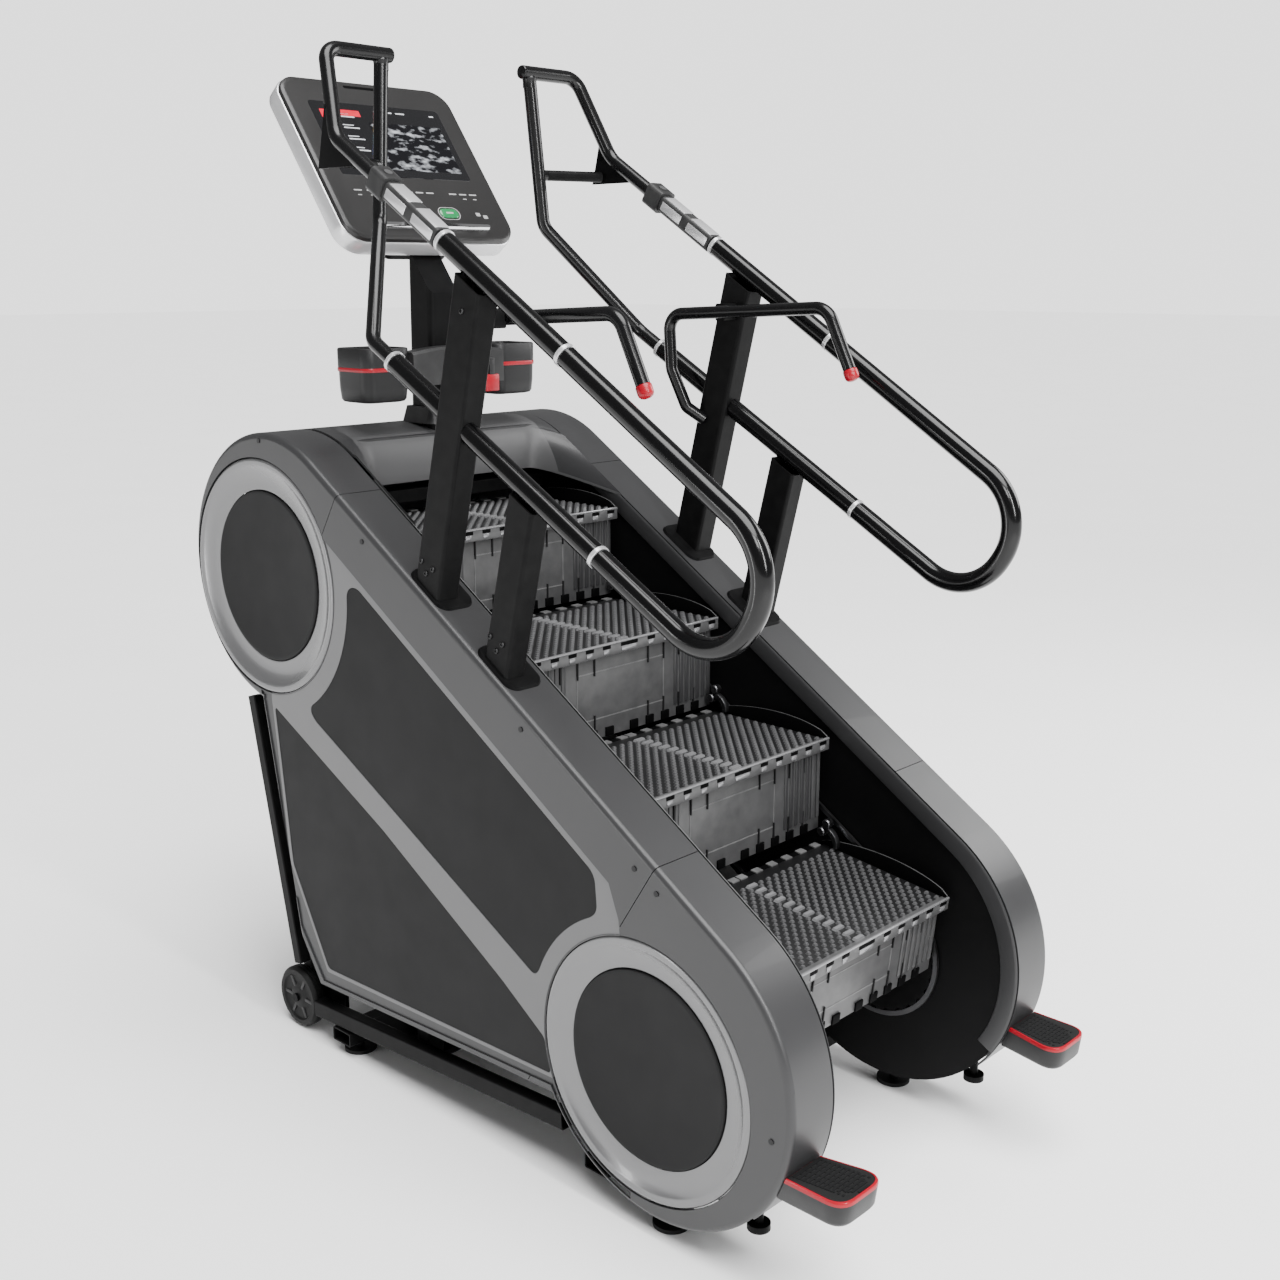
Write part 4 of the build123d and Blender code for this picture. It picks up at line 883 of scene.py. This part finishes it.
def build_pads():
    """Foot pads: a moulded body, a red line round it, and a ribbed rubber top."""
    body, tread, trim = bmesh.new(), bmesh.new(), bmesh.new()
    for side in SIDES:
        for bm, layers in (
                (body, ((0.016, 0.049), (0.008, 0.046), (0.004, 0.04), (0.0005, 0.012), (0.0, 0.0065),
                    (0.001, 0.0055))),
                (trim, ((0.003, 0.0095), (-0.0002, 0.0085), (-0.0002, 0.003), (0.0012, 0.0012),
                    (0.005, 0.001), (0.0052, 0.0035))),
                (tread, ((0.0052, 0.006), (0.0052, 0.002), (0.006, 0.0012)))):
            plate(bm, [pad_layer(side, inset, drop) for inset, drop in layers])
        for row in range(13):
            y = -0.768 - row * 0.0082
            reach = 0.038 if row < 9 else 0.038 - 0.006 * (row - 8)
            middle = side * (0.338 - 0.0012 * row)
            block(tread, (middle - reach, y - 0.0024, PAD_TOP - 0.002), (middle + reach, y + 0.0024, PAD_TOP),
                  top=0.96, index=1)
            for column in range(6 if row < 11 else 0):
                x = middle + (column - 2.5) * 0.0135
                block(tread, (x - 0.0022, y - 0.006, PAD_TOP - 0.002),
                      (x + 0.0022, y - 0.0022, PAD_TOP - 0.0004), index=1)
    piece("foot_pads_moulded", body, (DARK,), "dark_plastic", "foot_pads")
    piece("pad_trims_moulded", trim, (RED,), "red_plastic", "pad_trims")
    piece("pad_treads_ribbed", tread, (RUBBER, PANEL), "pad_rubber", "pad_treads")


WHEEL = (0.606, 0.071, 0.068)


def build_wheels():
    """Transport wheels with a grooved tyre and a spoked hub."""
    y, z, radius = WHEEL
    for side, name in SIDES.items():
        bm = bmesh.new()
        place = along_x(0.362, y, z, side)
        profile = [(0.0092, -0.016), (0.05, -0.014), (0.053, -0.016), (radius - 0.006, -0.016),
                   (radius - 0.001, -0.011)]
        for groove in (-0.005, 0.005):
            profile += [(radius, groove - 0.002), (radius - 0.003, groove - 0.001),
                        (radius - 0.003, groove + 0.001), (radius, groove + 0.002)]
        profile += [(radius - 0.001, 0.011), (radius - 0.006, 0.016), (0.053, 0.016), (0.05, 0.012),
                    (0.03, 0.01), (0.022, 0.015), (0.0092, 0.016)]
        lathe(bm, profile, place, 72)
        for spoke in range(6):
            turned = place @ Matrix.Rotation(spoke * math.pi / 3, 4, "Z")
            block(bm, (0.018, -0.004, 0.008), (0.05, 0.004, 0.0135), turned, bevel=0.0015, index=1)
        piece(f"transport_wheel_{name}_tyred", bm, (RUBBER, DARK), "pad_rubber",
              f"transport_wheel_{name}", body=f"wheel_{name}")


def bolt(bm, place, radius, height, index=0):
    """A domed button head with a socket in it."""
    solid_lathe(bm, [(0.0001, 0.0), (radius, 0.0), (radius, height * 0.35), (radius * 0.86, height * 0.8),
                (radius * 0.55, height), (radius * 0.45, height), (radius * 0.42, height * 0.45),
                (0.0001, height * 0.4)], place, 24, index)


RAIL_X, TUBE_R, FOAM_R, GRIP_R = 0.358, 0.014, 0.019, 0.0125
UPPER_SLOPE, LOWER_SLOPE = 0.618, 0.565


def on_upper(y):
    """A point of the right rail's upper run."""
    return Vector((RAIL_X, y, 1.677 + UPPER_SLOPE * (y - 0.047)))


def on_lower(y):
    """A point of the right rail's lower run."""
    return Vector((RAIL_X, y, 1.171 + LOWER_SLOPE * (y + 0.323)))


LOOP = (on_upper(-0.709), on_lower(-0.593))
LOOP_R = 0.495 * (LOOP[0] - LOOP[1]).length


def bent(points, radii, steps=14):
    """Points along straight runs joined by arcs, one radius for each inner corner."""
    points = [Vector(point) for point in points]
    path = [points[0]]
    for before, corner, after, radius in zip(points, points[1:], points[2:], radii):
        into, out = (corner - before).normalized(), (after - corner).normalized()
        turn = into.angle(out)
        axis = into.cross(out).normalized()
        inward = axis.cross(into)
        start = corner - into * radius * math.tan(turn / 2)
        centre = start + inward * radius
        for step in range(steps + 1):
            path.append(centre - Matrix.Rotation(turn * step / steps, 3, axis) @ inward * radius)
    return path + [points[-1]]


def sweep(bm, path, radius, segments=32):
    """A smooth round bar along a path, its ends closed with a small chamfer."""
    tangents = [(b - a).normalized() for a, b in zip(path, path[1:])]
    tangents = ([tangents[0]] + [(a + b).normalized() for a, b in zip(tangents, tangents[1:])]
                + [tangents[-1]])
    angles = [2 * math.pi * step / segments for step in range(segments)]
    across = tangents[0].orthogonal().normalized()
    rings = []
    for place, (point, tangent) in enumerate(zip(path, tangents)):
        across = (across - tangent * across.dot(tangent)).normalized()
        up = tangent.cross(across)
        loops = [(radius, 0.0)]
        if place == 0:
            loops = [(radius - 0.0012, 0.0), (radius, 0.0012)]
        if place == len(path) - 1:
            loops = [(radius, -0.0012), (radius - 0.0012, 0.0)]
        for reach, slide in loops:
            rings.append([bm.verts.new(point + tangent * slide
                        + reach * (math.cos(angle) * across + math.sin(angle) * up)) for angle in angles])
    skin(bm, rings)


def mirrored(side, path):
    """A path of the right side, moved to one side."""
    return [Vector((side * point.x, point.y, point.z)) for point in path]


def toward(point, direction):
    """A placement at a point whose local Z runs along a direction."""
    return Matrix.Translation(point) @ direction.to_track_quat("Z", "Y").to_matrix().to_4x4()


def build_rails():
    """The bent rails, their grip sleeves, the pale rings between sleeves, and the curved grips."""
    rail = bent([(0.172, 0.424, 2.03), (0.322, 0.421, 2.03), on_upper(0.349), *LOOP, on_lower(0.262),
                (0.217, 0.414, 1.72), (0.192, 0.424, 2.017)],
                [0.035, 0.06, LOOP_R, LOOP_R, 0.045, 0.045], 24)
    loop = bent([on_upper(-0.2542), *LOOP, on_lower(-0.3272)], [LOOP_R, LOOP_R], 40)
    sleeves = [[on_upper(0.0428), on_upper(-0.2458)], loop, [on_lower(-0.3188), on_lower(0.1948)]]
    grip = bent([(0.3297, 0.05024, 1.3256), (0.3, 0.074, 1.352), (0.282, 0.1, 1.43),
                (0.282, 0.108, 1.541), (0.282, -0.297, 1.56), (0.282, -0.353, 1.446)],
                [0.02, 0.04, 0.034, 0.042], 16)
    saddle = [Vector((0.236, 0.4128, 1.826)), Vector((0.211, 0.4172, 1.826))]
    foam, rings, grips, caps = bmesh.new(), bmesh.new(), bmesh.new(), bmesh.new()
    lean = Vector((0, -0.056, -0.114)).normalized()
    for side, name in SIDES.items():
        bm = bmesh.new()
        sweep(bm, mirrored(side, rail), TUBE_R)
        piece(f"rail_{name}_bent", bm, (TUBE,), "tube_black", f"rail_{name}")
        for path in sleeves:
            sweep(foam, mirrored(side, path), FOAM_R)
        for point, slope in ((on_upper(0.047), UPPER_SLOPE), (on_upper(-0.25), UPPER_SLOPE),
                    (on_lower(0.199), LOWER_SLOPE), (on_lower(-0.323), LOWER_SLOPE)):
            place = toward(mirrored(side, [point])[0], Vector((0, 1, slope)))
            lathe(rings, [(0.0145, -0.004), (0.02, -0.004), (0.0209, -0.0032), (0.0209, 0.0032),
                        (0.02, 0.004), (0.0145, 0.004)], place, 48)
        sweep(grips, mirrored(side, grip), GRIP_R)
        tip = mirrored(side, grip)[-1]
        solid_lathe(caps, [(0.0001, -0.0002), (0.0134, -0.0002), (0.014, 0.0008), (0.014, 0.012),
                    (0.0132, 0.016), (0.0108, 0.0192), (0.007, 0.0212), (0.0001, 0.0219)],
                    toward(tip, lean), 40)
        sweep(grips, mirrored(side, saddle), 0.0112)
    piece("rail_foam_sleeves", foam, (FOAM,), "grip_foam", "rail_foam")
    piece("rail_rings_turned", rings, (SILVER,), "ring_silver", "rail_rings")
    piece("curved_grips_bent", grips, (TUBE,), "tube_black", "curved_grips")
    piece("grip_caps_domed", caps, (RED,), "red_plastic", "grip_caps")


def build_paddle():
    """The small red stop paddle that hangs under the tray's bridge on a dark stem."""
    low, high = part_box("stop_paddle")
    middle = (low.x + high.x) / 2
    bm = bmesh.new()
    block(bm, low, (high.x, low.y + 0.008, low.z + 0.036), bevel=0.003)
    block(bm, (middle - 0.007, low.y + 0.001, low.z + 0.034), (middle + 0.007, low.y + 0.007, high.z),
          bevel=0.001, index=1)
    block(bm, (middle - 0.006, low.y + 0.006, high.z - 0.012), (middle + 0.006, high.y, high.z), index=1)
    piece("stop_paddle_moulded", bm, (RED, DARK), "red_plastic", "stop_paddle", body="stop_bar")


def build_welds():
    """Weld beads where each horn's inner leg meets its top bar, and caps on the bars' ends."""
    bm = bmesh.new()
    for side in SIDES:
        place = Matrix.Translation((side * 0.192, 0.424, 2.0))
        solid_lathe(bm, [(0.0001, 0.0), (0.0141, 0.0), (0.0143, 0.012), (0.015, 0.0165), (0.0156, 0.02),
                    (0.012, 0.026), (0.0001, 0.026)], place, 32)
        solid_lathe(bm, [(0.0001, -0.0044), (0.008, -0.004), (0.0132, -0.0026), (0.014, -0.0006),
                    (0.0136, 0.0), (0.0001, 0.0)], along_x(0.1716, 0.424, 2.03, side), 32)
    piece("horn_welds", bm, (TUBE,), "tube_black")


def build_bolts():
    """Bolts at the posts' feet, on their outer faces, and on the pods."""
    bm = bmesh.new()
    for side in SIDES:
        for y, z, wide in ((0.112, 1.112, 0.05), (0.08, 1.1, 0.05), (0.1, 1.09, 0.05),
                    (-0.02, 1.56, 0.05), (-0.072, 1.0, 0.046), (-0.104, 0.99, 0.046),
                    (-0.088, 0.976, 0.046)):
            bolt(bm, along_x(0.355 + wide / 2, y, z, side), 0.0055, 0.003)
    piece("post_bolts", bm, (SCREW,), "screw")


def build_sensor_strips():
    """Bright contact strips let into the flat grips of the upper rails."""
    grip_low, grip_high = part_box("grip_sensors")
    tilt = Matrix.Rotation(math.atan(UPPER_SLOPE), 4, "X")
    bm = bmesh.new()
    for side in SIDES:
        for share in (0.27, 0.73):
            middle = on_upper(grip_low.y + (grip_high.y - grip_low.y) * share)
            place = Matrix.Translation(mirrored(side, [middle])[0]) @ tilt
            block(bm, (-0.015, -0.031, 0.0155), (0.015, 0.031, 0.0182), place, bevel=0.0012)
            for across in (-0.0178, 0.0178):
                block(bm, (across - 0.0013, -0.031, -0.009), (across + 0.0013, 0.031, 0.009), place,
                      bevel=0.0008)
    piece("grip_contact_strips", bm, (SILVER,), "contact_grip")


# ---- stage ----

def build_stage():
    """A plain pale floor, and a world that is brighter to the eye than as a light."""
    bm = bmesh.new()
    bmesh.ops.create_grid(bm, x_segments=1, y_segments=1, size=60)
    mesh = bpy.data.meshes.new("floor")
    bm.to_mesh(mesh)
    bm.free()
    material, nodes, links, shader = new_material("floor_paint")
    links.new(ramp(nodes, links, noise(nodes, links, 1.5), (0.93, 0.93, 0.93), (0.95, 0.95, 0.95)),
              shader.inputs["Base Color"])
    shader.inputs["Roughness"].default_value = 0.75
    mesh.materials.append(material)
    placed("floor", mesh)
    world = bpy.data.worlds.new("studio")
    bpy.context.scene.world = world
    world.use_nodes = True
    nodes, links = world.node_tree.nodes, world.node_tree.links
    ray, strength = nodes.new("ShaderNodeLightPath"), nodes.new("ShaderNodeMapRange")
    strength.inputs["To Min"].default_value = 0.26
    strength.inputs["To Max"].default_value = 2.1
    links.new(ray.outputs["Is Camera Ray"], strength.inputs["Value"])
    links.new(strength.outputs["Result"], nodes["Background"].inputs["Strength"])
    nodes["Background"].inputs["Color"].default_value = (1, 1, 1, 1)


def area_light(name, place, target, size, power, size_y=None):
    """A lamp that faces a target, square unless it has a second size."""
    light = bpy.data.lights.new(name, "AREA")
    light.energy = power
    light.size = size
    if size_y:
        light.shape = "RECTANGLE"
        light.size_y = size_y
    lamp = placed(name, light)
    lamp.location = place
    lamp.rotation_euler = (Vector(target) - Vector(place)).to_track_quat("-Z", "Y").to_euler()


def build_lights():
    sun = bpy.data.lights.new("overhead", "SUN")
    sun.energy = 6.5
    sun.angle = math.radians(50)
    lamp = placed("overhead", sun)
    lamp.rotation_euler = Vector((0.06, 0.32, -1.0)).to_track_quat("-Z", "Y").to_euler()
    area_light("key", (-1.8, -3.2, 3.6), (0, 0, 0.9), 1.0, 60)
    area_light("right", (3.8, -1.6, 2.8), (0, 0, 0.8), 2.2, 120)
    area_light("left_low", (-3.7, 1.3, 0.9), (-0.4, 0.2, 0.7), 0.35, 24, 1.6)
    area_light("front_strip", (-0.6, -4.4, 3.0), (0, -0.5, 0.8), 0.35, 150, 2.6)


def build_camera():
    camera = bpy.data.cameras.new("camera")
    camera.sensor_width = 36
    camera.lens = 42.79
    holder = placed("camera", camera)
    holder.location = (-2.089, -2.064, 1.622)
    holder.rotation_euler = (math.radians(76.47), 0, math.radians(-46.44))
    bpy.context.scene.camera = holder


for build in (build_steps, build_rings, build_discs, build_side_fields, build_trims,
            build_hood_scoop, build_skirts, build_console, build_tray, build_pads, build_wheels,
            build_rails, build_paddle, build_welds, build_bolts, build_sensor_strips,
            build_stage, build_lights, build_camera):
    build()
